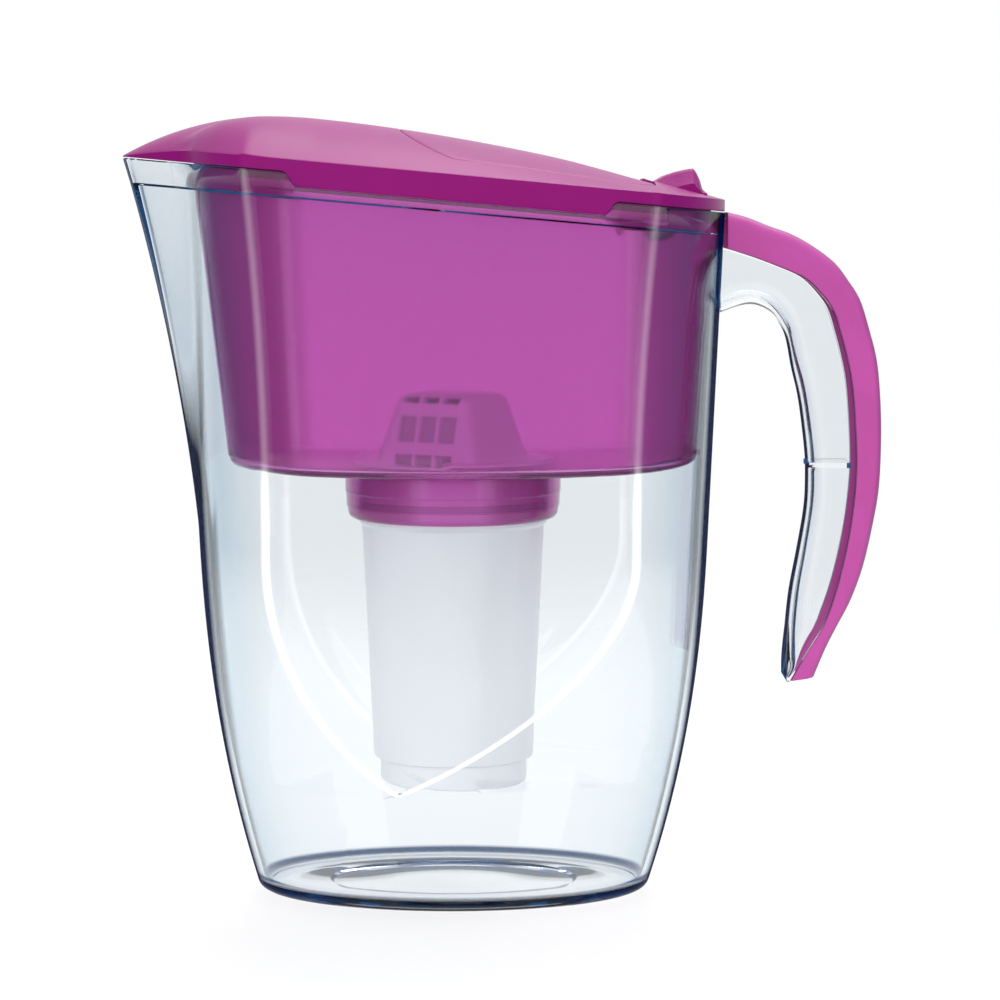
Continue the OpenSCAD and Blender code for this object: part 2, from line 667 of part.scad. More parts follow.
// A flat screen that leans against the inside of the windowed face
module inlet_screen() {
    face = -hood_foot / 2 + shell_t + seat_gap / cos(hood_lean);
    color([0.8, 0.8, 0.8])
    translate([0, 0, inlet_h])
    rotate([0, 0, hood_turn])
    translate([face, 0, 0])
    rotate([0, hood_lean, 0])
    translate([0, -hood_top * 0.39, hood_h * 0.1])
        cube([0.6, hood_top * 0.78, hood_h * 0.66]);
}

// ---- Lid ----

lid_in = rim_wall_t;
dome_rise = dome_h - band_h;
tip_x = rim_plan[0] + rim_plan[8];
rim_table = [for (q = half_plan(rim_plan)) [q[0], q[1]]];
root_x = crease_x(rim_plan[0], rim_plan[2], rim_plan[7]);
function lid_edge(x) = rim_z(x) + seat_gap + band_h * (x < -root_x ? mix(1, 0.1, pow((-x - root_x) / (tip_x - root_x), 1.2)) : 1);
function lid_line(x) =
    rim_z(x) + seat_gap + band_h + (x < -dome_x
        ? dome_rise - (dome_rise + 0.9 * band_h) * pow((-dome_x - x) / (tip_x - dome_x), 2.25)
        : dome_rise * (1 - pow((x + dome_x) / (rim_plan[1] + dome_x), 1.8)));
function lid_z(x, y) =
    let (wide = max(1, lookup(x, rim_table)), e = lid_edge(x))
    e + (lid_line(x) - e) * (1 - pow(min(1, abs(y) / wide), 2));
dome_shares = [1, 0.94, 0.87, 0.78, 0.68, 0.56, 0.42, 0.27, 0.12];
function dome_ring(s, inset, drop) =
    [for (q = full_ring(half_plan(jug_plan(rim_h, inset)))) let (x = q[0] * s, y = q[1] * s) [x, y, lid_z(x, y) - drop]];
// The lid's skin between two depths below its surface, all across its plan
module dome_slab(top, bottom, inset) {
    n = len(dome_shares) - 1;
    skin(concat([for (i = [n : -1 : 0]) dome_ring(dome_shares[i], inset, bottom)],
        [for (s = dome_shares) dome_ring(s, inset, top)]));
}

module lid_skin() {
    n = len(dome_shares) - 1;
    skin(concat(
        [for (i = [n : -1 : 1]) dome_ring(dome_shares[i], lid_in + 0.4, lid_t)],
        [rim_ring(lid_in, seat_gap + min(1.2, band_h / 3), 0), rim_ring(lid_in, seat_gap, skirt_depth),
            rim_ring(0, seat_gap, skirt_depth)],
        [for (s = dome_shares) dome_ring(s, 0, 0)]));
}

// The lip's upper edge, in the middle of the lid's shell
function lip_top(inset) = [for (q = oval_ring(inset, 0)) [q[0], q[1], lid_z(q[0], q[1]) - lid_t / 2]];

// The lip that keeps the lid centred in the hopper
module lid_lip() {
    skin([lip_top(lip_in + lip_t), oval_ring(lip_in + lip_t, -lip_depth), oval_ring(lip_in, -lip_depth),
        lip_top(lip_in)], true);
}

nose_steps = 12;
corner_steps = 5;
door_side_end = door_end_x - 8.4;
function door_half(grow) = concat(
    [for (k = [0 : nose_steps])
        let (u = sin(90 * k / nose_steps))
        [door_side_x - (door_nose + grow) * pow(1 - pow(u, 2.4), 0.9), (door_half_wid + grow) * u]],
    [for (k = [0 : corner_steps])
        let (a = 90 * k / corner_steps)
        [door_side_end + (8.4 + grow) * sin(a), door_half_wid + grow - 9 * (1 - cos(a))]]);
module door_shape(grow) {
    h = door_half(grow);
    polygon(concat(h, [for (i = [len(h) - 1 : -1 : 1]) [h[i][0], -h[i][1]]]));
}
module door_prism(grow) {
    translate([0, 0, rim_h - 60])
    linear_extrude(height = 120)
    door_shape(grow);
}

// Hinge of the door, inside the thumb hump
hinge_x = door_end_x + 9.2;
hinge_z = rim_z(hinge_x) + 5.6;
slot_half = lever_half_wid + door_gap;
cheek_w = 7;
lever_end_x = hinge_x + 9.05;
// Side view of the hump, from its valley over its peak to its back
function hump_line(low) = [
    [door_end_x + 1, lid_line(door_end_x + 1) - 0.5],
    [hinge_x - 4.9, hinge_z + 5.2 - low],
    [hinge_x - 0.8, hinge_z + 6.6 - low],
    [hinge_x + 3.4, hinge_z + hump_h + 0.55 - low],
    [hinge_x + 4.8, hinge_z + hump_h + 0.4 - low],
    [hinge_x + 5.7, hinge_z + hump_h - 0.7 - low],
    [hinge_x + 6.8, hinge_z + 3.9 - 0.7 * low],
    [hinge_x + 7.6, hinge_z + 1 - 0.3 * low],
    [hinge_x + 9.05, hinge_z - 0.7]];

module hump_plate(low, from, to) {
    line = hump_line(low);
    translate([0, to, 0])
    rotate([90, 0, 0])
    linear_extrude(height = to - from)
    polygon(concat(line, [[line[len(line) - 1][0], hinge_z - 3], [line[0][0], hinge_z - 3]]));
}

module cheek() {
    hull() {
        hump_plate(0, slot_half, slot_half + 2);
        hump_plate(4.5, slot_half + 2, slot_half + cheek_w);
    }
}

// A blind bore for a trunnion, in the cheek on one side
module hinge_bore(side) {
    translate([hinge_x, side * (slot_half - 1), hinge_z])
    rotate([-90 * side, 0, 0])
        cylinder(r = hinge_r + hinge_clear, h = 1 + hinge_len + seat_gap, $fn = 48);
}

module lid_skins() {
    difference() {
        union() {
            lid_skin();
            lid_lip();
            intersection() {
                dome_slab(lid_t / 2, door_t + seat_gap + 1.8, lid_in + 1);
                difference() {
                    door_prism(door_gap + 1.6);
                    door_prism(-door_ledge);
                }
            }
        }
        intersection() {
            dome_slab(-3, door_t + seat_gap, lid_in + 1);
            door_prism(door_gap);
        }
        door_prism(-door_ledge);
        translate([door_end_x - 6, -slot_half, rim_h - 60])
            cube([lever_end_x + 0.3 - door_end_x + 6, 2 * slot_half, 120]);
    }
}

module lid_shell() {
    color([0.72, 0.16, 0.56])
    difference() {
        one_skin() {
            lid_skins();
            cheek();
            mirror([0, 1, 0]) cheek();
        }
        hinge_bore(1);
        hinge_bore(-1);
    }
}

// ---- Door ----

module flip_door() {
    half = lever_half_wid;
    line = hump_line(0);
    color([0.84, 0.42, 0.72])
    union() {
        one_skin()
        intersection() {
            dome_slab(0, door_t, lid_in + 1);
            union() {
                door_prism(0);
                translate([door_end_x - 4, -half, rim_h - 60])
                    cube([5.6, 2 * half, 120]);
            }
        }
        translate([0, half, 0])
        rotate([90, 0, 0])
        linear_extrude(height = 2 * half)
        polygon(concat([[door_end_x - 1, lid_line(door_end_x - 1) - 0.4]], line,
            [[hinge_x + 7.6, hinge_z - 2.2], [hinge_x + 2, hinge_z - 3], [hinge_x - 2.4, hinge_z - 2.6],
            [hinge_x - 5, lid_line(hinge_x - 5) - 3.2], [door_end_x - 1, lid_line(door_end_x - 1) - door_t + 0.3]]));
        for (side = [-1, 1])
            translate([hinge_x, side * (half - 0.5), hinge_z])
            rotate([-90 * side, 0, 0])
                cylinder(r = hinge_r, h = 0.5 + door_gap + hinge_len, $fn = 48);
    }
}

jug_body();
handle_cover();
funnel();
lid_shell();
flip_door();
cartridge_shell();
cartridge_hood();
cartridge_cap();
seal_ring();
inlet_screen();
upper_felt();
filter_media();
lower_felt();
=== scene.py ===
import math

import bpy
import numpy as np
from bpy.props import FloatProperty, FloatVectorProperty, PointerProperty
from mathutils import Matrix, Vector


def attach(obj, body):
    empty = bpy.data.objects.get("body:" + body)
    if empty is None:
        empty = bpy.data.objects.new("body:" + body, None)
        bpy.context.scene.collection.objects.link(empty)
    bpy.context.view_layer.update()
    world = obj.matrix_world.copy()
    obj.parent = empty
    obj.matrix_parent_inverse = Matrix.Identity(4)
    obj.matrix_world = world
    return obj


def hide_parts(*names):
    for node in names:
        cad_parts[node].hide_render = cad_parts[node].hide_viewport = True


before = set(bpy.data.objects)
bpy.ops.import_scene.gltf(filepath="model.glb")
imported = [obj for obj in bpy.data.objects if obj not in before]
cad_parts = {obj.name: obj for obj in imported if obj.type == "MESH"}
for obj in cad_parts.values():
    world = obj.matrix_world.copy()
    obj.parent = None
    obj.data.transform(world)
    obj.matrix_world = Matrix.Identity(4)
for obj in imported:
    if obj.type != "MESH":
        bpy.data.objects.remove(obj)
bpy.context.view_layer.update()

bl_info = {
    "name": "Filter Pitcher",
    "version": (1, 0, 0),
    "blender": (4, 5, 0),
    "location": "3D View > Sidebar > Pitcher",
    "description": "A slim filter pitcher with a hopper, a cartridge and a flip door",
    "category": "Add Mesh",
}

MM = 0.001
LARGEST = 500.0  # mm, the most that a size can be set to


# ---------------------------------------------------------------- sizes and colours


def size(label, about, value):
    """A size in millimetres."""
    return FloatProperty(name=label, description=f"{about}, in mm", default=value, min=0.0,
                         max=LARGEST)


def paint(label, about, value):
    """A colour, as linear red, green and blue."""
    return FloatVectorProperty(name=label, description=about, subtype="COLOR", size=3, default=value,
                               min=0, max=1)


class JugSizes(bpy.types.PropertyGroup):
    """Sizes of the clear jug"""

    rim_h: size("Rim height", "Height of the rim over the centre of the foot", 239.5)
    rim_fall: FloatProperty(name="Rim fall", description="Fall of the rim towards the handle",
                            subtype="ANGLE", unit="ROTATION", default=math.radians(5.2))
    rim_half_len: size("Rim half length", "From the centre to the handle end", 92.0)
    rim_half_wid: size("Rim half width", "Between the flat panels", 52.0)
    foot_half_len: size("Foot half length", "Half the length of the foot", 66.4)
    foot_half_wid: size("Foot half width", "Half the width of the foot", 45.0)
    wall: size("Wall", "Wall thickness below the ledge", 3.0)
    rim_wall: size("Rim wall", "Wall thickness above the ledge", 1.6)
    ledge: size("Ledge depth", "Depth of the ledge below the rim", 7.8)
    floor: size("Floor", "Thickness of the floor", 3.0)
    skirt: size("Skirt depth", "Depth of the rim's side notches", 4.6)
    skirt_len: size("Skirt half length", "Half length of the side notches", 54.0)
    crease: size("Crease rounding", "How softly the panel's edge is rounded", 1.6)
    recess_len: size("Recess half length", "Half length of the shallow recess in the floor", 42.0)
    recess_wid: size("Recess half width", "Half width of that recess", 28.0)


class HandleSizes(bpy.types.PropertyGroup):
    """Sizes of the handle"""

    width: size("Handle width", "Width of the channel and its cover", 24.0)
    wall: size("Handle wall", "Wall of the channel and its cover", 2.2)
    web_h: size("Web height", "Height of the web across the channel", 146.0)
    web_t: size("Web thickness", "Thickness of that web", 1.8)


class LidSizes(bpy.types.PropertyGroup):
    """Sizes of the lid and its door"""

    band: size("Band", "Height of the lid's band above the rim", 4.0)
    dome: size("Dome", "Highest point above the rim plane", 18.7)
    dome_x: size("Dome place", "How far that point lies towards the spout", 47.0)
    thick: size("Shell", "Thickness of the lid", 2.2)
    door_wid: size("Door half width", "Half the width of the door", 40.0)
    door_side: size("Door side", "Where the door's straight side starts", 0.7)
    door_nose: size("Door nose", "How far its rounded front runs ahead", 18.5)
    door_end: size("Door end", "Where its body ends", 66.8)
    seam: size("Seam", "Gap round the door", 0.5)
    lever: size("Lever half width", "Half the width of the thumb lever", 10.9)
    hump: size("Hump", "Height of the thumb hump", 7.0)


class HopperSizes(bpy.types.PropertyGroup):
    """Sizes of the hopper and its socket"""

    floor_h: size("Floor height", "Height of the hopper's floor", 144.0)
    wall: size("Hopper wall", "Wall thickness", 1.8)
    half_wid: size("Half width", "Half width under the band", 48.0)
    draft: size("Side draft", "How much the long sides lean in", 1.8)
    front: size("Front", "Where the front wall stands at the rim", 86.0)
    front_draft: size("Front draft", "How far the front wall leans in", 10.6)
    rear: size("Rear", "Where the rear wall stands at the rim", 87.6)
    rear_draft: size("Rear draft", "How far the rear wall leans in", 4.8)
    corner: size("Corner", "Where the front corners start", 53.6)
    rise: size("Floor rise", "How much the floor rises to its ends", 3.0)
    socket_r: size("Socket radius", "Outer radius of the socket", 36.8)
    socket_deep: size("Socket depth", "Depth of the socket", 16.4)


class CartridgeSizes(bpy.types.PropertyGroup):
    """Sizes of the cartridge"""

    flange_r: size("Flange radius", "Radius of the flange", 34.9)
    neck_r: size("Neck radius", "Radius of the neck", 31.9)
    top_r: size("Top radius", "Radius of the body under the neck", 31.0)
    low_r: size("Low radius", "Radius of the body's lower end", 27.2)
    foot_h: size("Foot height", "Height of the body's lower end", 45.6)
    cap_r: size("Cup radius", "Radius of the bottom cup", 24.9)
    cap_h: size("Cup height", "Height of the bottom cup", 8.6)
    wall: size("Cartridge wall", "Wall thickness", 1.6)
    hood_foot: size("Hood foot", "Side of the hood at its foot", 41.0)
    hood_top: size("Hood top", "Side of the hood at its top", 28.0)
    hood_h: size("Hood height", "Height of the hood", 24.1)
    hood_turn: FloatProperty(name="Hood turn", description="Turn of the hood about the vertical",
                             subtype="ANGLE", unit="ROTATION", default=math.radians(60))


class Finishes(bpy.types.PropertyGroup):
    """Colours of the pitcher"""

    magenta: paint("Magenta", "Glossy moulded lid and door", (0.285, 0.003, 0.165))
    satin: paint("Satin magenta", "Satin handle cover", (0.56, 0.085, 0.37))
    hopper: paint("Hopper", "Translucent hopper", (0.80, 0.31, 0.70))
    # Also used as painted shade at the hopper's ends and in its band under the lid's rim.
    deep: paint("Hopper edge", "Hopper plastic seen edge on", (0.36, 0.012, 0.24))
    lug: paint("Lugs", "Lugs on the hopper's band", (0.24, 0.006, 0.15))
    clear: paint("Clear", "Clear jug", (0.935, 0.958, 0.972))
    # Partly the jug's own bluer tint edge on, partly painted shade for the darker surroundings it bends into
    # view.
    edge: paint("Clear edge", "Clear jug seen edge on", (0.22, 0.47, 0.64))
    white: paint("White", "Cartridge", (0.95, 0.95, 0.955))
    floor: paint("Floor", "Studio floor", (0.17, 0.17, 0.17))


# ---------------------------------------------------------------- the pitcher's form, in millimetres


def mix(a, b, t):
    return a + (b - a) * t


def clamp(t):
    return max(0.0, min(1.0, t))


FOOT_INSET = 10  # how far inside the foot the floor's oval takes its points from
RIM_GAP = 0.3  # between the rim and what rests on it
BAND_GAP = 0.8  # between the rim's wall and the hopper's band


def both_sides(half):
    """A whole ring from one side's points, which run from front to rear."""
    h = np.array(half)
    return np.vstack([h, (h * (1, -1))[-2:0:-1]])


def rounded(ring, marks, reach, rounds, strength=1.0):
    """Rounds a ring's corners at the marked points, on both sides, over reach points each way."""
    n = len(ring)
    weight = np.zeros(n)
    for mark in marks:
        for i in (mark, n - mark):
            for d in range(1 - reach, reach):
                weight[(i + d) % n] = max(weight[(i + d) % n], 1 - abs(d) / reach)
    for _ in range(rounds):
        middle = (np.roll(ring, 1, 0) + np.roll(ring, -1, 0)) / 2
        ring = ring + 0.5 * weight[:, None] * (middle - ring) * strength
    return ring


def raised(ring, z):
    """A ring of (x, y) at height z, which is one number or one for each point."""
    return np.column_stack([ring, np.broadcast_to(z, len(ring))])


class Form:
    """Plans and heights of the clear jug, worked out from its sizes."""

    belly_h = 125.0  # below this height the ends curve in towards the foot
    belly_power = 2.35  # how late they do so
    lean = 0.0446  # how much the ends lean out for each mm of height
    panel_foot = 39.5  # height of the flat panels' lowest point
    panel_rise = 80.0  # from there to where they reach their length
    panel_len = 60.5  # half that length
    panel_flare = 6.5  # what they gain at the rim
    panel_skew = 17.5  # how far their lowest point lies towards the spout
    panel_lean = 0.0175  # how much they lean out for each mm of height
    skew_power = 1.6  # how fast the skew fades upwards
    edge_power = 0.88  # how round the panels' lower edge is
    side_spread = 8  # least half length of the points along a side
    no_panel = 200.0  # a width that trims nothing
    spout_reach = 19.5  # how far the spout stands out at the rim
    spout_straight, spout_bend = 0.38, 0.62  # how that reach grows with height, and with its square
    spout_start = 118.0  # height where the spout starts
    spout_root, spout_low = 24.0, 17.0  # its half width at the rim and where it starts
    spout_nose = 3.0  # rounding of its tip
    spout_thin = 0.7  # how much of an inset the root takes
    no_spout = -60  # a reach that keeps the spout inside the plan
    spout_power = 1.25  # crowds the spout's points at its tip
    spout_n, front_n, side_n, rear_n = 12, 20, 34, 26
    skirt_slope = 4  # length of the slope at a side notch's ends
    skirt_steps = (0, 1, 2.2, 3.2, 4)  # where points stand on it
    crease_rounds, crease_reach = 5, 5
    crease_usual = 1.6  # the crease rounding that takes every round at full strength

    def __init__(self, jug):
        self.j = jug
        self.slope = math.tan(jug.rim_fall)
        self.base_len = jug.rim_half_len - self.lean * jug.rim_h
        self.apex = self.full(self.panel_foot, self.panel_skew / 2)
        self.rim = self.plan(jug.rim_h, 0)
        even = self.side_n - 2 * len(self.skirt_steps) + 1
        self.shares = sorted(set(list(np.linspace(0, 1, even)) + self.skirt_marks()))
        self.side_n = len(self.shares) - 1
        self.half_n = self.spout_n + self.front_n + self.side_n + self.rear_n

    def skirt_marks(self):
        """Shares of the side's length where the notches' slopes need points."""
        start, end, half = self.rim["xs"], self.rim["xe"], self.j.skirt_len
        marks = [-half + step for step in self.skirt_steps]
        marks += [half - step for step in self.skirt_steps[::-1]]
        return [(x - start) / (end - start) for x in marks]

    def rim_z(self, x):
        return self.j.rim_h - self.slope * x

    def level(self, x, h):
        """Height at x of the level that has height h at the centre."""
        return h * self.rim_z(x) / self.j.rim_h

    def length(self, h):
        tuck = max(0, 1 - h / self.belly_h) ** self.belly_power
        return self.base_len + self.lean * h - (self.base_len - self.j.foot_half_len) * tuck

    def panel(self, h):
        """Distance of a flat panel from the middle."""
        return self.j.rim_half_wid - self.panel_lean * (self.j.rim_h - h)

    def full(self, h, x):
        """Half width of the oval that meets the panel at x."""
        return self.panel(h) / math.sqrt(1 - (x / self.length(h)) ** 2)

    def low(self, h):
        """Half width of the oval below the panels."""
        foot_len, foot_wid = self.j.foot_half_len, self.j.foot_half_wid
        return foot_wid + (self.apex - foot_wid) * (self.length(h) - foot_len) / (
            self.length(self.panel_foot) - foot_len)

    def plan(self, h, inset, spout=True):
        """The measures of the plan at a height, drawn in by inset."""
        t = clamp((h - self.panel_foot) / self.panel_rise)
        low = h <= self.panel_foot
        top = self.panel_foot + self.panel_rise
        flare = self.panel_flare * clamp((h - top) / (self.j.rim_h - top)) ** 2
        middle = -self.panel_skew * (1 - t) ** self.skew_power
        half = self.panel_len * (1 - (1 - t) ** 2) ** self.edge_power + flare
        front = self.low(h) if low else self.full(h, middle - half)
        rear = self.low(h) if low else self.full(h, middle + half)
        a = self.length(h) - inset
        y = self.no_panel if low else self.panel(h) - inset
        spread = self.side_spread
        if low:
            spread = mix(self.side_spread, self.j.foot_half_len / 2, 1 - h / self.panel_foot)

        def edge(b):
            return a * math.sqrt(max(0, 1 - (y / b) ** 2))

        s = clamp((h - self.spout_start) / (self.j.rim_h - self.spout_start))
        reach = self.spout_reach * (self.spout_straight * s + self.spout_bend * s * s)
        return {"a": a, "bf": front - inset, "br": rear - inset, "y": y, "inset": inset,
                "xs": min(0 if low else -edge(front - inset), middle - spread),
                "xe": max(middle if low else edge(rear - inset), middle + spread),
                "root": mix(self.spout_low, self.spout_root, s) - self.spout_thin * inset,
                "out": reach if spout else self.no_spout}

    def spout_x(self, p, y):
        root_x = p["a"] * math.sqrt(max(0, 1 - (p["root"] / p["bf"]) ** 2))
        tip, nose = p["a"] + p["out"], self.spout_nose
        k = (tip - root_x) / (math.hypot(p["root"], nose) - nose)
        thin = p["inset"] * (math.sqrt(1 + (k * clamp(p["out"] / nose)) ** 2) - 1)
        return tip - thin - k * (math.hypot(y, nose) - nose)

    def side(self, p, x):
        b = p["bf"] if x < (p["xs"] + p["xe"]) / 2 else p["br"]
        return min(p["y"], b * math.sqrt(max(0, 1 - (x / p["a"]) ** 2)))

    def half(self, p):
        """Points of one side of a plan, from the spout's tip to the rear."""
        t_spout = math.asin(min(1, p["root"] / p["bf"]))
        t_front = math.asin(min(1, self.side(p, p["xs"]) / p["bf"]))
        t_rear = math.asin(min(1, self.side(p, p["xe"]) / p["br"]))
        pts = []
        for k in range(self.spout_n):
            y = p["root"] * (k / self.spout_n) ** self.spout_power
            oval_x = p["a"] * math.sqrt(max(0, 1 - (y / p["bf"]) ** 2))
            pts.append((-max(oval_x, self.spout_x(p, y)), y))
        for k in range(self.front_n):
            u = k / self.front_n
            t = mix(t_spout, t_front, 0.5 * (u + math.sin(math.pi * u / 2)))
            pts.append((-p["a"] * math.cos(t), p["bf"] * math.sin(t)))
        for s in self.shares:
            x = mix(p["xs"], p["xe"], s)
            pts.append((x, self.side(p, x)))
        for k in range(1, self.rear_n + 1):
            u = 1 - k / self.rear_n
            t = t_rear * (0.5 * (u + math.sin(math.pi * u / 2)))
            pts.append((p["a"] * math.cos(t), p["br"] * math.sin(t)))
        return pts

    def ring(self, p):
        """All points of a plan, from the spout's tip round to the rear and back, creases rounded."""
        front_end = self.spout_n + self.front_n
        creases = (self.spout_n, front_end, front_end + self.side_n)
        strength = min(1, self.j.crease / self.crease_usual)
        return rounded(both_sides(self.half(p)), creases, self.crease_reach, self.crease_rounds, strength)

    def skirt_share(self):
        """How deep each point of a ring lies in the side notches."""
        start, end, half = self.rim["xs"], self.rim["xe"], self.j.skirt_len
        out = np.zeros(2 * self.half_n)
        for i, share in enumerate(self.shares):
            d = clamp((half - abs(mix(start, end, share))) / self.skirt_slope)
            k = self.spout_n + self.front_n + i
            out[k] = out[-k] = d * d * (3 - 2 * d)
        return out

    def at(self, h, inset):
        """A ring on the level of height h."""
        r = self.ring(self.plan(h, inset))
        return raised(r, self.level(r[:, 0], h))

    def flat(self, h, inset, z):
        """The plan of height h as a level ring at z."""
        return raised(self.ring(self.plan(h, inset)), z)

    def oval_disc(self, half_len, half_wid, z):
        """A level oval with as many points as a ring."""
        r = self.ring(self.plan(0, FOOT_INSET))
        return raised(r / np.hypot(r[:, 0] / half_len, r[:, 1] / half_wid)[:, None], z)

    def rim_edge(self, inset, lift, dip):
        """A ring along the rim, with the side notches dip deep."""
        r = self.ring(self.plan(self.j.rim_h, inset))
        return raised(r, self.rim_z(r[:, 0]) + lift - dip * self.skirt_share())

    def oval(self, inset, lift):
        """A ring without the spout, parallel to the rim and lift above it."""
        r = self.ring(self.plan(self.j.rim_h + min(0, lift), inset, spout=False))
        return raised(r, self.level(r[:, 0], self.j.rim_h + lift))


class LidForm:
    """The lid's surface above the jug's rim."""

    edge_thin, edge_power = 0.9, 1.2  # how the band thins over the spout
    front_drop, front_power = 0.9, 2.25  # how the dome falls to the spout
    back_power = 1.8  # how it falls to the handle
    crease_x = (-91, -86, -79, -67.6, -57.6, -46)  # the creases that run down the beak
    crease_y = (13, 16.5, 15.5, 11.5, 7.5, 2)
    swell_x = (-91, -84, -76, -64, -54, -44)  # how high the dome swells beside them
    swell_h = (0, 1.5, 2.7, 2.2, 1.1, 0)
    swell_power = 1.3
    nose_power, nose_round = 2.4, 0.9  # roundness of the door's front
    corner_len, corner_wid = 8.4, 9  # the door's rear corners
    corner_steps = 12

    def __init__(self, form, lid):
        self.f, self.lid = form, lid
        p = form.rim
        self.tip = p["a"] + p["out"]
        self.root = p["a"] * math.sqrt(1 - (p["root"] / p["bf"]) ** 2)
        h = np.array(form.half(p))
        self.table = h[np.argsort(h[:, 0])]
        self.rise = lid.dome - lid.band

    def edge(self, x):
        """Height of the band's upper edge."""
        over = np.clip((-x - self.root) / (self.tip - self.root), 0, 1)
        return self.f.rim_z(x) + RIM_GAP + self.lid.band * (1 - self.edge_thin * over ** self.edge_power)

    def line(self, x):
        """Height of the surface along the middle."""
        crown = self.lid.dome_x
        front = np.clip((-crown - x) / (self.tip - crown), 0, 1)
        back = np.clip((x + crown) / (self.f.rim["a"] + crown), 0, 1)
        fall = (self.rise + self.front_drop * self.lid.band) * front ** self.front_power
        top = np.where(x < -crown, self.rise - fall, self.rise * (1 - back ** self.back_power))
        return self.f.rim_z(x) + RIM_GAP + self.lid.band + top

    def line_at(self, x):
        return float(self.line(np.array(x)))

    def z(self, x, y):
        """Height of the surface at any point."""
        wide = np.maximum(1.0, np.interp(x, self.table[:, 0], self.table[:, 1]))
        e = self.edge(x)
        return e + (self.line(x) - e) * (1 - np.minimum(1, np.abs(y) / wide) ** 2) + self.swell(x, y, wide)

    def swell(self, x, y, wide):
        """How far the dome swells out beside the creases of the beak."""
        crease = np.minimum(np.interp(x, self.crease_x, self.crease_y), 0.9 * wide)
        u = np.clip((np.abs(y) - crease) / np.maximum(wide - crease, 2), 0, 1)
        return np.interp(x, self.swell_x, self.swell_h) * 4 * u * (1 - u) ** self.swell_power

    def ring(self, share, inset, drop):
        """A ring on the surface, lowered by drop, at a share of the rim's plan."""
        r = self.f.ring(self.f.plan(self.f.j.rim_h, inset)) * share
        return raised(r, self.z(r[:, 0], r[:, 1]) - drop)

    def door(self, grow, steps=40):
        """The door's outline, grown all round."""
        lid = self.lid
        half = []
        for k in range(steps + 1):
            u = math.sin(math.pi / 2 * k / steps)
            nose = (lid.door_nose + grow) * (1 - u ** self.nose_power) ** self.nose_round
            half.append((lid.door_side - nose, (lid.door_wid + grow) * u))
        for k in range(self.corner_steps + 1):
            a = math.pi / 2 * k / self.corner_steps
            half.append((lid.door_end - self.corner_len + (self.corner_len + grow) * math.sin(a),
                         lid.door_wid + grow - self.corner_wid * (1 - math.cos(a))))
        return half + [(x, -y) for x, y in half[-1:0:-1]]

    def hump(self, low=0.0):
        """Side view of the thumb hump, lowered by up to low for its sloping flanks."""
        x, z = self.hinge()
        rise = self.lid.hump
        start = self.lid.door_end + 1
        return [(start, self.line_at(start) - 0.5), (x - 4.9, z + 5.2 - low), (x - 0.8, z + 6.6 - low),
                (x + 3.4, z + rise + 0.55 - low), (x + 4.4, z + rise + 0.65 - low),
                (x + 5.1, z + rise + 0.1 - low), (x + 5.8, z + rise - 1 - low),
                (x + 6.8, z + 3.9 - 0.7 * low), (x + 7.6, z + 1 - 0.3 * low), (x + 9.05, z - 0.7)]

    def hinge(self):
        """Where the door's trunnions turn, in the side view."""
        x = self.lid.door_end + 9.2
        return x, self.f.rim_z(x) + 5.6


# ---------------------------------------------------------------- modelling


SAME_POINT = 2e-6  # m, points this close are merged
AXIS = 0.0001  # mm, the radius that a turned profile keeps at its axis
BLOCK_LOW, BLOCK_HIGH = 180, 300  # mm, heights of blocks that cut right through the lid


def clear_selection():
    if bpy.context.object and bpy.context.object.mode != "OBJECT":
        bpy.ops.object.mode_set(mode="OBJECT")
    bpy.ops.object.select_all(action="DESELECT")


def pick(obj):
    clear_selection()
    obj.select_set(True)
    bpy.context.view_layer.objects.active = obj


def wrap(name, rings, closed=False, caps="none"):
    """Wraps a grid round rings of points in mm, and closes its ends by a fan of points or a flat face."""
    rings = [np.asarray(r, float) for r in rings]
    if caps == "points":
        rings = [np.repeat(rings[0].mean(0)[None], len(rings[0]), 0)] + rings + [
            np.repeat(rings[-1].mean(0)[None], len(rings[-1]), 0)]
    if closed:
        rings.append(rings[0])
    n = len(rings[0])
    clear_selection()
    bpy.ops.mesh.primitive_grid_add(x_subdivisions=n, y_subdivisions=len(rings) - 1, size=1)
    obj = bpy.context.object
    obj.name = obj.data.name = name
    pts = np.vstack([np.vstack([r, r[:1]]) for r in rings]) * MM
    obj.data.vertices.foreach_set("co", pts.astype(np.float32).ravel())
    bpy.ops.object.mode_set(mode="EDIT")
    bpy.ops.mesh.select_all(action="SELECT")
    bpy.ops.mesh.remove_doubles(threshold=SAME_POINT)
    if caps == "fill":
        bpy.ops.mesh.select_all(action="DESELECT")
        bpy.ops.mesh.select_non_manifold(extend=False)
        bpy.ops.mesh.fill_holes(sides=0)
    bpy.ops.mesh.select_all(action="SELECT")
    bpy.ops.mesh.normals_make_consistent(inside=False)
    bpy.ops.mesh.select_all(action="DESELECT")
    bpy.ops.object.mode_set(mode="OBJECT")
    return obj


def spin_profile(name, profile, steps=128):
    """Turns a closed profile of (radius, height), in mm, about the vertical."""
    rings = []
    for k in range(steps):
        a = 2 * math.pi * k / steps
        rings.append(np.array([(r * math.cos(a), r * math.sin(a), z) for r, z in profile]))
    return wrap(name, rings, closed=True)


def prism(name, outline, low, high):
    """An upright block over an outline, in mm."""
    return wrap(name, [raised(np.array(outline), low), raised(np.array(outline), high)], caps="fill")


def sideways(name, outline, y0, y1):
    """A block across the pitcher over a side view of (x, z), in mm."""
    rings = [np.array([(x, y, z) for x, z in outline]) for y in (y0, y1)]
    return wrap(name, rings, caps="fill")


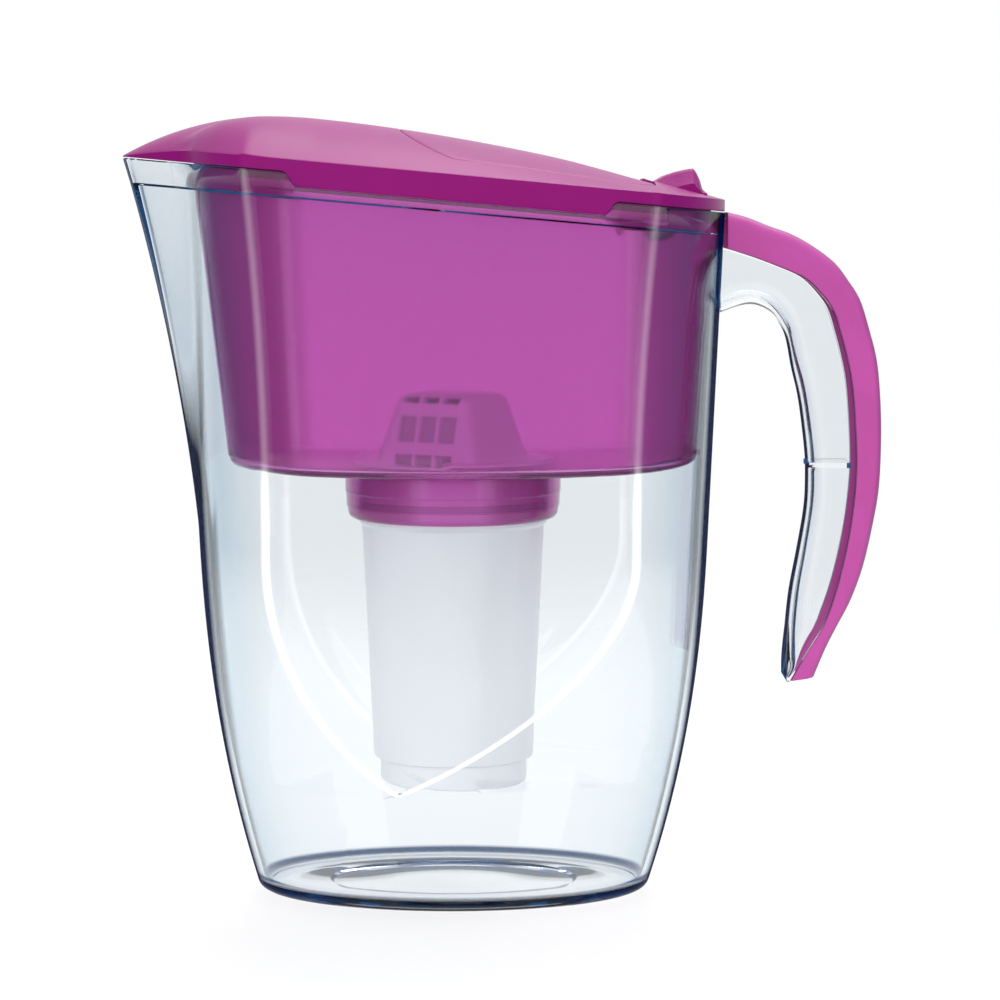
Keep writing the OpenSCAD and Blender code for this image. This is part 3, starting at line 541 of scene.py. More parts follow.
def cut(obj, tool, how="DIFFERENCE"):
    """Cuts, joins or trims obj with tool, which it uses up."""
    m = obj.modifiers.new("cut", "BOOLEAN")
    m.operation, m.object, m.solver = how, tool, "EXACT"
    pick(obj)
    bpy.ops.object.modifier_apply(modifier=m.name)
    bpy.data.objects.remove(tool)
    if not len(obj.data.polygons):
        raise RuntimeError(f"{obj.name}: nothing was left after {how}")
    return obj


def soften(obj, width, angle=32):
    """Rounds the edges that are sharper than angle, in degrees."""
    m = obj.modifiers.new("soften", "BEVEL")
    m.width = width * MM
    m.segments = 2
    m.limit_method = "ANGLE"
    m.angle_limit = math.radians(angle)
    m.miter_outer = "MITER_ARC"
    m.use_clamp_overlap = True
    pick(obj)
    bpy.ops.object.modifier_apply(modifier=m.name)
    return obj


def smooth(obj, angle=30):
    """Shades the faces smooth across edges flatter than angle, in degrees."""
    pick(obj)
    bpy.ops.object.shade_smooth_by_angle(angle=math.radians(angle))
    return obj


def dress(obj, material, body, nodes=()):
    """Gives a finished piece its material, its body and the nodes it stands for."""
    obj.data.materials.clear()
    obj.data.materials.append(material)
    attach(obj, body)
    if nodes:
        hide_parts(*nodes)
    return obj


def curve_through(points, n, steps=24, rounds=30):
    """n points on a smooth curve through the given ones, evenly spaced."""
    p = np.array(points, float)
    p = np.vstack([2 * p[0] - p[1], p, 2 * p[-1] - p[-2]])
    fine = []
    for i in range(1, len(p) - 2):
        a, b, c, d = p[i - 1: i + 3]
        bend, twist = 2 * a - 5 * b + 4 * c - d, 3 * b - a - 3 * c + d
        for t in np.linspace(0, 1, steps, endpoint=False):
            fine.append(0.5 * (2 * b + (c - a) * t + bend * t * t + twist * t ** 3))
    fine.append(p[-2])
    fine = np.array(fine)
    for _ in range(rounds):
        fine[1:-1] = (fine[:-2] + 2 * fine[1:-1] + fine[2:]) / 4
    d = np.concatenate([[0], np.cumsum(np.linalg.norm(np.diff(fine, axis=0), axis=1))])
    s = np.linspace(0, d[-1], n)
    return np.column_stack([np.interp(s, d, fine[:, k]) for k in range(2)])


# ---------------------------------------------------------------- materials


def rgb(colour):
    """A colour as a node's input takes it."""
    return (*colour, 1.0)


class Socket:
    """A node's output that can be reckoned with."""

    def __init__(self, paint, out):
        self.p, self.out = paint, out

    def _math(self, op, a, b):
        n = self.p.tree.nodes.new("ShaderNodeMath")
        n.operation = op
        for i, v in enumerate((a, b)):
            if isinstance(v, Socket):
                self.p.tree.links.new(v.out, n.inputs[i])
            else:
                n.inputs[i].default_value = v
        return Socket(self.p, n.outputs[0])

    def __add__(self, other):
        return self._math("ADD", self, other)

    def __radd__(self, other):
        return self._math("ADD", other, self)

    def __sub__(self, other):
        return self._math("SUBTRACT", self, other)

    def __rsub__(self, other):
        return self._math("SUBTRACT", other, self)

    def __mul__(self, other):
        return self._math("MULTIPLY", self, other)

    def __rmul__(self, other):
        return self._math("MULTIPLY", other, self)

    def __truediv__(self, other):
        return self._math("DIVIDE", self, other)

    def __pow__(self, other):
        return self._math("POWER", self, other)


class Paint:
    """One material or world, node by node."""

    def __init__(self, owner, end="OutputMaterial"):
        self.owner = owner
        owner.use_nodes = True
        self.tree = owner.node_tree
        self.tree.nodes.clear()
        self.end = self.tree.nodes.new("ShaderNode" + end)

    @classmethod
    def new(cls, name):
        return cls(bpy.data.materials.new(name))

    def node(self, kind, out=0, props=None, **inputs):
        """One node's output. An input is given by its name, with _ for a space, or as i0, i1 and so on."""
        n = self.tree.nodes.new("ShaderNode" + kind)
        for k, v in (props or {}).items():
            setattr(n, k, v)
        for k, v in inputs.items():
            key = int(k[1:]) if k[0] == "i" and k[1:].isdigit() else k.replace("_", " ")
            if isinstance(v, Socket):
                self.tree.links.new(v.out, n.inputs[key])
            else:
                n.inputs[key].default_value = v
        return Socket(self, n.outputs[out])

    def place(self):
        return self.node("TexCoord", out="Object")

    def axis(self, vector, k):
        split = self.tree.nodes.new("ShaderNodeSeparateXYZ")
        self.tree.links.new(vector.out, split.inputs[0])
        return Socket(self, split.outputs[k])

    def size_of(self, value):
        return self.node("Math", props={"operation": "ABSOLUTE"}, i0=value)

    def noise(self, scale, detail=3.0, rough=0.5):
        return self.node("TexNoise", out=0, Vector=self.place(), Scale=scale, Detail=detail, Roughness=rough)

    def ramp(self, value, low, high, a, b):
        """a below low and b above high, blended between."""
        return self.node("MapRange", Value=value, From_Min=low, From_Max=high, To_Min=a, To_Max=b)

    def greater(self, a, b):
        return self.node("Math", props={"operation": "MAXIMUM"}, i0=a, i1=b)

    def blend(self, factor, a, b):
        """Colour a where factor is 0 and colour b where it is 1."""
        n = self.tree.nodes.new("ShaderNodeMix")
        n.data_type = "RGBA"
        for socket, v in ((n.inputs[0], factor), (n.inputs[6], a), (n.inputs[7], b)):
            if isinstance(v, Socket):
                self.tree.links.new(v.out, socket)
            else:
                socket.default_value = rgb(v)
        return Socket(self, n.outputs[2])

    def bump(self, height, strength, distance):
        return self.node("Bump", Height=height, Strength=strength, Distance=distance)

    def finish(self, shader):
        self.tree.links.new(shader.out, self.end.inputs[0])
        return self.owner


BLACK, WHITE = (0.0, 0.0, 0.0), (1.0, 1.0, 1.0)
# Painted shade: the dark outline of the clear plastic seen edge on, in place of the dark surroundings it
# bends into view.
PAINTED_OUTLINE_NAVY = (0.01, 0.07, 0.2)  # thick clear plastic seen edge on
CLEAR_SHADE = (0.99, 0.995, 1.0)  # what the clear plastic lets through to what it holds
PLASTIC_IOR = 1.47
CLOUD, GRAIN, HAZE, FIBRE, WEAVE, RIPPLE = 45.0, 1800.0, 40.0, 900.0, 700.0, 14.0  # pattern scales, per metre


def moulded(name, colour, rough, coat=0.0, grain=0.15, cloudy=0.04, gloss=0.5, painted_edge_shade=0.0):
    """Opaque moulded plastic with a fine uneven gloss, and painted shade that darkens it edge on when its
    edge shade is set.
    """
    p = Paint.new(name)
    cloud = p.noise(CLOUD, detail=3.0)
    pale, strong = [c * (1 - cloudy) for c in colour], [min(1, c * (1 + cloudy)) for c in colour]
    tone = p.blend(p.ramp(cloud, 0.35, 0.65, 0.0, 1.0), pale, strong)
    if painted_edge_shade:
        # Painted shade: the colour darkens as the surface turns edge on.
        facing = p.node("LayerWeight", out="Facing", Blend=0.5)
        tone = p.blend(facing ** 2.0 * painted_edge_shade, tone, [c * 0.25 for c in colour])
    return p.finish(p.node("BsdfPrincipled", Base_Color=tone, Specular_IOR_Level=gloss,
                           Roughness=p.ramp(cloud, 0.3, 0.7, rough * 0.94, rough * 1.06),
                           Coat_Weight=coat, Coat_Roughness=0.12,
                           Normal=p.bump(p.noise(GRAIN, detail=2.0), grain, distance=0.00005)))


def let_light_in(p, body, colour):
    """Lets the lamps' light through a clear piece, so that what it holds is lit."""
    shade = p.node("BsdfTransparent", Color=rgb(colour))
    return p.finish(p.node("MixShader", i0=p.node("LightPath", out="Is Shadow Ray"), i1=body, i2=shade))


# Painted highlight: a white glow in the jug's emission along its panels' rounded crease, standing in for a
# reflection.
GLEAM_CORE, GLEAM_EDGE = 0.4 * MM, 1.5 * MM  # half width of the gleam's full and faded parts
GLEAM_FAR = 0.12  # its strength on the +Y side's panel
GLEAM_HIGH, GLEAM_LOW = 0.06, 0.4  # its strength beside the hopper and below it
GLEAM_TURN = (0.135, 0.15)  # m, heights between which it changes


def painted_crease_highlight(p):
    """A painted highlight for the jug's emission: a white glow along the rounded edge of the jug's flat side
    panels, which Form.plan works out, weaker on the +Y side.
    """
    jug = bpy.context.scene.pitcher_jug
    x, y, z = (p.axis(p.place(), k) for k in range(3))
    h = z / (1.0 - x * (math.tan(jug.rim_fall) / (jug.rim_h * MM)))
    foot = Form.panel_foot * MM
    top = (Form.panel_foot + Form.panel_rise) * MM
    below = 1.0 - p.ramp(h, foot, top, 0.0, 1.0)
    middle = below ** Form.skew_power * (-Form.panel_skew * MM)
    flare = p.ramp(h, top, jug.rim_h * MM, 0.0, 1.0) ** 2.0 * (Form.panel_flare * MM)
    half = (1.0 - below ** 2.0) ** Form.edge_power * (Form.panel_len * MM) + flare
    off = p.size_of(p.size_of(x - middle) - half)
    start = p.ramp(h, foot - 0.5 * MM, foot, 0.0, 1.0)
    far = p.ramp(y, -0.01, 0.01, 1.0, GLEAM_FAR)
    gleam = p.ramp(off, GLEAM_CORE, GLEAM_EDGE, 1.0, 0.0)
    return gleam * start * far * p.ramp(z, *GLEAM_TURN, GLEAM_LOW, GLEAM_HIGH)


def clear_plastic(name, colour, edge):
    """Clear glossy plastic, with a painted navy outline where it is seen edge on and round its foot, and a
    bluer tint edge on that is partly its own and partly painted shade.
    """
    p = Paint.new(name)
    upright = 1.0 - p.axis(p.node("NewGeometry", out="Normal"), 2) ** 2.0
    # Bluer edge on: partly the plastic's own tint over a longer path, partly painted shade.
    facing = p.node("LayerWeight", out="Facing", Blend=0.5) * upright
    # Painted shade: a dark band round the sides of the foot.
    foot = p.ramp(p.axis(p.place(), 2), 0.0038, 0.0052, 0.93, 0.0) * upright
    # The emission colour paints that white highlight along the panels' crease.
    body = p.node("BsdfPrincipled", Base_Color=p.blend(facing ** 1.9, colour, edge), Roughness=0.0,
                  IOR=PLASTIC_IOR, Transmission_Weight=1.0, Specular_IOR_Level=0.3,
                  Emission_Color=p.blend(painted_crease_highlight(p), BLACK, WHITE), Emission_Strength=1.0,
                  Normal=p.bump(p.noise(RIPPLE, detail=1.0), 0.02, distance=0.0004))
    # Painted shade: near the silhouette and round the foot the surface turns into a dark navy film.
    line = p.greater(p.ramp(facing, 0.62, 0.77, 0.0, 0.97), foot)
    p.owner.cycles.emission_sampling = "NONE"
    rim = p.node("BsdfTransparent", Color=rgb(PAINTED_OUTLINE_NAVY))
    return let_light_in(p, p.node("MixShader", i0=line, i1=body, i2=rim), CLEAR_SHADE)


def tinted_plastic(name, colour, deep):
    """Translucent tinted plastic, deeper edge on (partly its own longer path, partly painted shade), with
    painted shade at its ends and in the band beside the lid's skirts, under the lid's rim.
    """
    p = Paint.new(name)
    jug = bpy.context.scene.pitcher_jug
    # Deeper edge on: partly the plastic's longer path, partly painted shade.
    facing = p.node("LayerWeight", out="Facing", Blend=0.5)
    cloud = p.noise(HAZE, detail=2.0)
    tone = p.blend(facing * p.ramp(cloud, 0.3, 0.7, 0.95, 1.05), colour, deep)
    x, z = p.axis(p.place(), 0), p.axis(p.place(), 2)
    # Painted shade under the lid's rim: the band above the ledge, beside the skirts, darkens to the deep
    # colour.
    under_rim = z + x * math.tan(jug.rim_fall) - jug.rim_h * MM
    beside = p.ramp(p.size_of(x), (jug.skirt_len - 3) * MM, (jug.skirt_len + 1) * MM, 0.0, 1.0)
    band = p.ramp(under_rim, -(jug.ledge + 0.8) * MM, -(jug.ledge + 0.2) * MM, 0.0, 0.8) * beside
    # Painted shade on the ends and corner facets, where the surface turns along the length.
    painted_end_shade = p.size_of(p.axis(p.node("NewGeometry", out="Normal"), 0))
    tone = p.blend(p.greater(band, p.ramp(painted_end_shade, 0.25, 0.55, 0.0, 0.45)), tone, deep)
    body = p.node("BsdfPrincipled", Base_Color=tone, Roughness=0.11, IOR=PLASTIC_IOR,
                  Transmission_Weight=0.9, Specular_IOR_Level=0.2,
                  Normal=p.bump(p.noise(FIBRE, detail=2.0), 0.1, distance=0.00005))
    return let_light_in(p, body, [0.6 + 0.4 * c for c in colour])


def plain(p, tone, rough, height, strength, distance):
    """Finishes a dull material whose relief follows height."""
    return p.finish(p.node("BsdfPrincipled", Base_Color=tone, Roughness=rough,
                           Normal=p.bump(height, strength, distance)))


def felt(name, colour):
    """Matted fibres."""
    p = Paint.new(name)
    fibres = p.noise(FIBRE, detail=6.0, rough=0.7)
    tone = p.blend(p.ramp(fibres, 0.35, 0.65, 0.0, 1.0), [c * 0.8 for c in colour], colour)
    return plain(p, tone, 0.95, fibres, 0.6, distance=0.0004)


def granules(name, colour):
    """A bed of dark grains."""
    p = Paint.new(name)
    cells = p.node("TexVoronoi", out="Distance", Vector=p.place(), Scale=FIBRE)
    tone = p.blend(p.ramp(cells, 0.0, 0.7, 0.0, 1.0), colour, [c * 0.3 for c in colour])
    return plain(p, tone, 0.7, cells, 0.8, distance=0.0006)


def screen_cloth(name, colour):
    """A fine square weave."""
    p = Paint.new(name)
    across, up = (p.node("TexWave", out="Fac", props={"bands_direction": way}, Vector=p.place(), Scale=WEAVE)
                  for way in ("X", "Z"))
    weave = across * up
    tone = p.blend(p.ramp(weave, 0.0, 0.6, 0.0, 1.0), [c * 0.5 for c in colour], colour)
    return plain(p, tone, 0.6, weave, 0.4, distance=0.0002)


FINISHED = {}


def materials():
    """The pitcher's finishes, each made once."""
    if not FINISHED:
        c = bpy.context.scene.pitcher_finish
        FINISHED.update({
            "lid": moulded("lid_gloss", list(c.magenta), 0.36, gloss=0.25),
            # The cover's darker edge on is painted shade.
            "cover": moulded("cover_satin", list(c.satin), 0.45, grain=0.35, gloss=0.3, painted_edge_shade=0.9),
            "white": moulded("cartridge_white", list(c.white), 0.34, coat=0.1, cloudy=0.006),
            "seal": moulded("seal_grey", [0.6, 0.6, 0.62], 0.55, grain=0.3),
            "jug": clear_plastic("jug_clear", list(c.clear), list(c.edge)),
            "lug": moulded("lug_magenta", list(c.lug), 0.35, gloss=0.3),
            "hopper": tinted_plastic("hopper_tinted", list(c.hopper), list(c.deep)),
            "felt": felt("felt_white", [0.82, 0.81, 0.77]),
            "bed": granules("filter_bed", [0.06, 0.06, 0.06]),
            "screen": screen_cloth("inlet_cloth", [0.7, 0.7, 0.7]),
        })
    return FINISHED


# ---------------------------------------------------------------- pieces

# Lines of the handle's side view as (x, z) in mm, from its root down
COVER_OUT = [(91.2, 231.3), (98, 229.6), (105.8, 226.6), (113.6, 223.9), (122.1, 219.1), (128.6, 214.1),
             (133.1, 208.3), (137.2, 201.9), (140.4, 192), (143.2, 181.2), (144.5, 167.9), (144.9, 154.6),
             (144.3, 138.1), (142.1, 124.7), (139.2, 111.7), (135.2, 100.3), (130.8, 91.7), (126.8, 83.7),
             (122.7, 73.7)]
COVER_IN = [(91.2, 219), (94.7, 218.1), (103.2, 215.4), (112.3, 212), (118.8, 209), (123.9, 204.2),
            (128.1, 198.5), (130.7, 190.7), (133.3, 181.2), (135.1, 171.3), (136.3, 154.9), (136.5, 142.6),
            (135.2, 128.2), (133, 115.5), (130, 103.1), (126, 91.7), (121.6, 84.4), (114.8, 72.6)]
GRIP_IN = [(90.2, 197.3), (95.5, 199.3), (99.5, 200.2), (103.3, 199.8), (108.4, 197.1), (112, 192),
           (113.6, 187.6), (115.3, 178.5), (117.8, 167.9), (120, 151.1), (120.4, 142.6), (120, 130.6),
           (117.4, 114.8), (115, 101.7), (113.7, 88.2), (113.2, 78.8), (113.4, 72.4)]
HANDLE_STEPS = 110
COVER_GAP = 0.3  # between the channel's open side and the cover
CHANNEL_ROUND, COVER_ROUND = 8.0, 3.4


def u_section(open_side, closed_side, half, wall, rounding):
    """A U between two points of the side view: open at the first, rounded at the second."""
    a, b = np.array(open_side), np.array(closed_side)
    length = np.linalg.norm(b - a)
    axis = (b - a) / max(length, 1e-6)
    depth = max(length, 0.5)

    def path(d, w, r):
        r = max(0.15, min(r, 0.7 * d, 0.95 * w))
        pts = [(0, w), (0.35 * (d - r), w), (0.7 * (d - r), w)]
        pts += [(d - r + r * math.sin(t), w - r + r * math.cos(t)) for t in np.linspace(0, math.pi / 2, 8)]
        pts += [(d, 0.5 * (w - r))]
        return pts

    out = path(depth, half, rounding)
    ins = path(max(depth - wall, 0.45 * depth), half - wall, max(0.3, rounding - wall * 0.6))
    loop = out + [(d, -y) for d, y in out[::-1]] + [(d, -y) for d, y in ins] + ins[::-1]
    return np.array([(a[0] + axis[0] * d, y, a[1] + axis[1] * d) for d, y in loop])


def handle_rings(open_line, closed_line, handle, rounding):
    return [u_section(a, b, handle.width / 2, handle.wall, rounding) for a, b in zip(open_line, closed_line)]


def quarter(steps):
    """Angles from 0 to a right angle."""
    return np.linspace(0, math.pi / 2, steps)


class PITCHER_OT_jug(bpy.types.Operator):
    """Models the clear jug with the channel of its handle"""

    bl_idname = "pitcher.jug"
    bl_label = "Clear Jug"

    def execute(self, context):
        j, h = context.scene.pitcher_jug, context.scene.pitcher_handle
        f = Form(j)
        jug = wrap("clear_jug", self.rings(f), caps="points")
        cut(jug, self.channel(f, h), "UNION")
        cut(jug, self.web(h), "UNION")
        smooth(jug, 35)
        dress(jug, materials()["jug"], "jug", ["jug_body"])
        return {"FINISHED"}

    def rings(self, f):
        """The jug from the middle of its underside up to the rim and down inside to the floor."""
        j = f.j
        foot, inner_round, step = 2.6, 3, 0.3
        under = f.flat(0, foot + 8, 0)
        rings = [under * (0.5, 0.5, 1), under]
        for a in quarter(7):
            z = foot * (1 - math.cos(a))
            rings.append(f.flat(z, foot * (1 - math.sin(a)), z))
        top = j.rim_h - j.ledge
        heights = [*np.linspace(foot + 1.5, 30, 10), *np.linspace(33, 60, 16), *np.linspace(63, 125, 22),
                   *np.linspace(129, top, 26)]
        rings += [f.at(z, 0) for z in heights]
        edge = 0.45
        for inset, lift in ((0, -edge), (0.3 * edge, -0.3 * edge), (edge, 0), (j.rim_wall - edge, 0),
                            (j.rim_wall - 0.3 * edge, -0.3 * edge), (j.rim_wall, -edge)):
            rings.append(f.rim_edge(inset, lift, j.skirt))
        for h, inset in ((top + step, j.rim_wall), (top, j.rim_wall + step), (top, j.wall - step),
                         (top - step, j.wall)):
            rings.append(f.at(h, inset))
        rings += [f.at(z, j.wall) for z in heights[::-1][1:] if z > j.floor + inner_round + 0.5]
        for a in quarter(6):
            z = j.floor + inner_round * (1 - math.sin(a))
            rings.append(f.flat(z, j.wall + inner_round * (1 - math.cos(a)), z))
        rings.append(f.flat(j.floor, j.wall + 8, j.floor))
        deep = 0.9
        for grow, lift in ((0.4, 0.0), (0.1, -0.1), (-0.9, 0.1 - deep), (-1.3, -deep)):
            rings.append(f.oval_disc(j.recess_len + grow, j.recess_wid + grow, j.floor + lift))
        rings.append(f.oval_disc(j.recess_len / 2, j.recess_wid / 2, j.floor - deep))
        return rings

    def channel(self, f, h):
        """The clear channel of the handle, rooted in the jug's wall."""
        sink = 2.25
        opens, closes = curve_through(COVER_IN, HANDLE_STEPS), curve_through(GRIP_IN, HANDLE_STEPS)
        away = closes - opens
        opens = opens + away / np.maximum(np.linalg.norm(away, axis=1), 1)[:, None] * COVER_GAP
        rings = handle_rings(opens, closes, h, CHANNEL_ROUND)
        root = rings[0].copy()
        root[:, 0] = [f.length(z * f.j.rim_h / f.rim_z(f.j.rim_half_len)) - sink for z in root[:, 2]]
        return wrap("channel", [root] + rings, caps="fill")

    def web(self, h):
        """The web across the channel, with its ends in the channel's walls."""
        start, end = 120.5, 134.6
        low, high = h.web_h - h.web_t / 2, h.web_h + h.web_t / 2
        half = h.width / 2 - h.wall * 0.6
        return sideways("web", [(start, low), (end, low), (end, high), (start, high)], -half, half)


class PITCHER_OT_cover(bpy.types.Operator):
    """Models the magenta cover that closes the handle's channel"""

    bl_idname = "pitcher.cover"
    bl_label = "Handle Cover"

    def execute(self, context):
        h = context.scene.pitcher_handle
        root_h, root_gap, root_power = 239, 0.4, 6
        opens, closes = curve_through(COVER_IN, HANDLE_STEPS), curve_through(COVER_OUT, HANDLE_STEPS)
        shift = Form(context.scene.pitcher_jug).length(root_h) + root_gap - COVER_OUT[0][0]
        for line in (opens, closes):
            line[:, 0] += shift * np.linspace(1, 0, HANDLE_STEPS) ** root_power
        cover = wrap("handle_cover_piece", handle_rings(opens, closes, h, COVER_ROUND), caps="fill")
        smooth(soften(cover, 0.35), 40)
        dress(cover, materials()["cover"], "jug", ["handle_cover"])
        return {"FINISHED"}


class PITCHER_OT_hopper(bpy.types.Operator):
    """Models the translucent hopper with its band, floor and socket"""

    bl_idname = "pitcher.hopper"
    bl_label = "Hopper"

    def execute(self, context):
        j, s, c = context.scene.pitcher_jug, context.scene.pitcher_hopper, context.scene.pitcher_cartridge
        f = Form(j)
        shelf = RIM_GAP - j.ledge
        hopper = wrap("hopper_piece", self.rings(f, s, shelf), caps="points")
        foot, bore, seat = s.floor_h - s.socket_deep, c.neck_r + 0.4, s.floor_h - 0.8
        r, inside, top = s.socket_r, bore - 0.6, s.floor_h + 1
        cut(hopper, spin_profile("socket", [
            (inside, foot), (r - 3.4, foot), (r - 2.3, foot + 0.4), (r - 1.5, foot + 1.1),
            (r - 1, foot + 2.2), (r - 0.9, foot + 4.2), (r - 0.5, foot + 4.4), (r - 0.35, foot + 9),
            (r - 0.1, foot + 9.3), (r, s.floor_h - 1.5), (r, top), (inside, top)]), "UNION")
        for radius, low in ((bore, foot - 2), (c.flange_r + 0.3, seat)):
            high = s.floor_h + 9
            cut(hopper, spin_profile("drill", [(AXIS, low), (radius, low), (radius, high), (AXIS, high)]))
        smooth(hopper, 35)
        dress(hopper, materials()["hopper"], "hopper", ["funnel"])
        self.lugs(f, shelf)
        return {"FINISHED"}

    def rings(self, f, s, shelf):
        """The hopper from the middle of its underside up to its band and down inside to the floor."""
        front_flat, front_bulge, arc_x = 20.0, 1.6, 52.0
        corner_r, inner_r, floor_t, w = 3.4, 2.4, 2.2, s.wall
        band_in, lip, bevel = f.j.rim_wall + BAND_GAP, 0.9, 0.4

        def half(t, inset):
            """One side at a share t of the way down."""
            xf, xr = s.front - s.front_draft * t - inset, s.rear - s.rear_draft * t - inset
            xc, ys = s.corner - 0.32 * s.front_draft * t - 0.4 * inset, s.half_wid - s.draft * t - inset
            yf = front_flat - 0.6 * inset
            pts = []
            for k in range(f.spout_n):
                pts.append((-xf + front_bulge * (k / f.spout_n) ** 2, yf * k / f.spout_n))
            for k in range(f.front_n):
                u = k / f.front_n
                bow = 3 * math.sin(math.pi * u)
                pts.append((mix(front_bulge - xf, -xc, u) - 0.63 * bow, mix(yf, ys, u) + 0.78 * bow))
            pts += [(mix(-xc, arc_x, v), ys) for v in f.shares]
            for k in range(1, f.rear_n + 1):
                a = math.pi / 2 * (1 - k / f.rear_n)
                pts.append((arc_x + (xr - arc_x) * math.cos(a), ys * math.sin(a)))
            return pts

        def ring(t, inset, lift):
            r = rounded(both_sides(half(t, inset)), (f.spout_n, f.spout_n + f.front_n), 3, 4)
            top = f.rim_z(r[:, 0]) + shelf - 1
            low = s.floor_h + s.rise * (r[:, 0] / 80) ** 2
            return raised(r, mix(top, low, t) + lift)

        def disc(z):
            r = ring(1, 0, 0)[:, :2]
            return raised(r / np.linalg.norm(r, axis=1)[:, None] * (s.socket_r + 1.5), z)

        rings = [disc(s.floor_h)]
        rings += [ring(1, corner_r * (1 - math.sin(a)), corner_r * (1 - math.cos(a))) for a in quarter(7)]
        rings += [ring(t, 0, 0) for t in np.linspace(0.96, 0, 20)]
        for inset, lift in ((w, shelf), (0, shelf), (0, -lip), (bevel, bevel - lip), (w - bevel, bevel - lip),
                            (w, -lip), (w, shelf + floor_t)):
            rings.append(f.oval(band_in + inset, lift))
        rings += [ring(t, w, floor_t if t == 0 else 0) for t in np.linspace(0, 0.93, 18)]
        for a in quarter(6):
            rings.append(ring(1, w + inner_r * (1 - math.cos(a)), floor_t + inner_r * (1 - math.sin(a))))
        return rings + [disc(s.floor_h + floor_t)]

    def lugs(self, f, shelf):
        """The four lugs on the band, beside the lid's raised skirts."""
        band_in, low, high = f.j.rim_wall + BAND_GAP, shelf + 0.4, -1
        lugs = wrap("hopper_lugs", [f.oval(band_in + 0.6, low), f.oval(band_in - 0.5, low),
                                    f.oval(band_in - 0.5, high), f.oval(band_in + 0.6, high)], closed=True)
        blocks = []
        for x0, x1, y0 in ((-84, -68, 30), (70.5, 85.5, 24)):
            for y, y1 in ((-60, -y0), (y0, 60)):
                blocks.append(prism("block", [(x0, y), (x1, y), (x1, y1), (x0, y1)], 200, 260))
        keep = blocks[0]
        for block in blocks[1:]:
            cut(keep, block, "UNION")
        cut(lugs, keep, "INTERSECT")
        smooth(lugs)
        dress(lugs, materials()["lug"], "hopper", ())


class PITCHER_OT_lid(bpy.types.Operator):
    """Models the lid with its dome, band, skirts, door opening and hump"""

    bl_idname = "pitcher.lid"
    bl_label = "Lid"

    def execute(self, context):
        j, l = context.scene.pitcher_jug, context.scene.pitcher_lid
        lf = LidForm(Form(j), l)
        shares = [0.04, 0.12, *np.linspace(0.2, 0.95, 31), 0.97, 0.99]
        lid = wrap("lid_piece", self.rings(lf, shares), caps="points")
        cut(lid, self.lip(lf), "UNION")

        def slab(name, up, down):
            inset = j.rim_wall + 1
            rings = [lf.ring(s, inset, down) for s in shares] + [lf.ring(s, inset, up) for s in shares[::-1]]
            return wrap(name, rings, caps="points")

        def block(outline):
            return prism("block", outline, BLOCK_LOW, BLOCK_HIGH)

        overlap, ledge = 1.6, -2.6
        seat = cut(slab("seat", 1.2, 4.3), block(lf.door(l.seam + overlap)), "INTERSECT")
        cut(lid, seat, "UNION")
        cut(lid, cut(slab("hollow", -3, 2.5), block(lf.door(l.seam)), "INTERSECT"))
        cut(lid, block(lf.door(ledge)))
        slot = l.lever + l.seam
        start, end = l.door_end - 6, lf.hinge()[0] + 9.35
        cut(lid, block([(start, -slot), (end, -slot), (end, slot), (start, slot)]))
        for side in (-1, 1):
            cut(lid, self.cheek(lf, side, slot), "UNION")
        smooth(lid)
        dress(lid, materials()["lid"], "lid", ["lid_shell"])
        return {"FINISHED"}

    def rings(self, lf, shares):
        """The lid from the middle of its underside out to its skirts and back over its top."""
        f, l, wall = lf.f, lf.lid, lf.f.j.rim_wall
        rings = [lf.ring(s, wall + 0.4, l.thick) for s in shares[:-2]]
        for inset, lift, dip in ((wall, 1.5, 0), (wall, RIM_GAP, f.j.skirt), (0.3, RIM_GAP, f.j.skirt),
                                 (0, 2 * RIM_GAP, f.j.skirt)):
            rings.append(f.rim_edge(inset, lift, dip))
        for share, drop in ((1, 0.5), (1, 0.12), (0.996, 0)):
            rings.append(lf.ring(share, 0, drop))
        return rings + [lf.ring(s, 0, 0) for s in shares[::-1]]

    def lip(self, lf):
        """The lip under the lid that reaches into the hopper's band."""
        wide, deep = 1.5, -3
        inset = lf.f.j.rim_wall + BAND_GAP + 1.8 + 0.4

        def top(inset):
            r = lf.f.oval(inset, 0)
            r[:, 2] = lf.z(r[:, 0], r[:, 1]) - lf.lid.thick / 2
            return r

        return wrap("lip", [top(inset + wide), lf.f.oval(inset + wide, deep), lf.f.oval(inset, deep),
                            top(inset)], closed=True)

    def cheek(self, lf, side, slot):
        """One cheek of the thumb hump, with a sloping flank."""
        base = lf.hinge()[1] - 3
        rings = []
        for y, low in ((0, 0), (1.2, 0), (2, 0.35), (2.6, 1.0), (7, 5.0)):
            pts = lf.hump(low)
            pts += [(pts[-1][0], base), (pts[0][0], base)]
            rings.append(np.array([(x, side * (slot + y), z) for x, z in pts]))
        return wrap("cheek", rings, caps="fill")


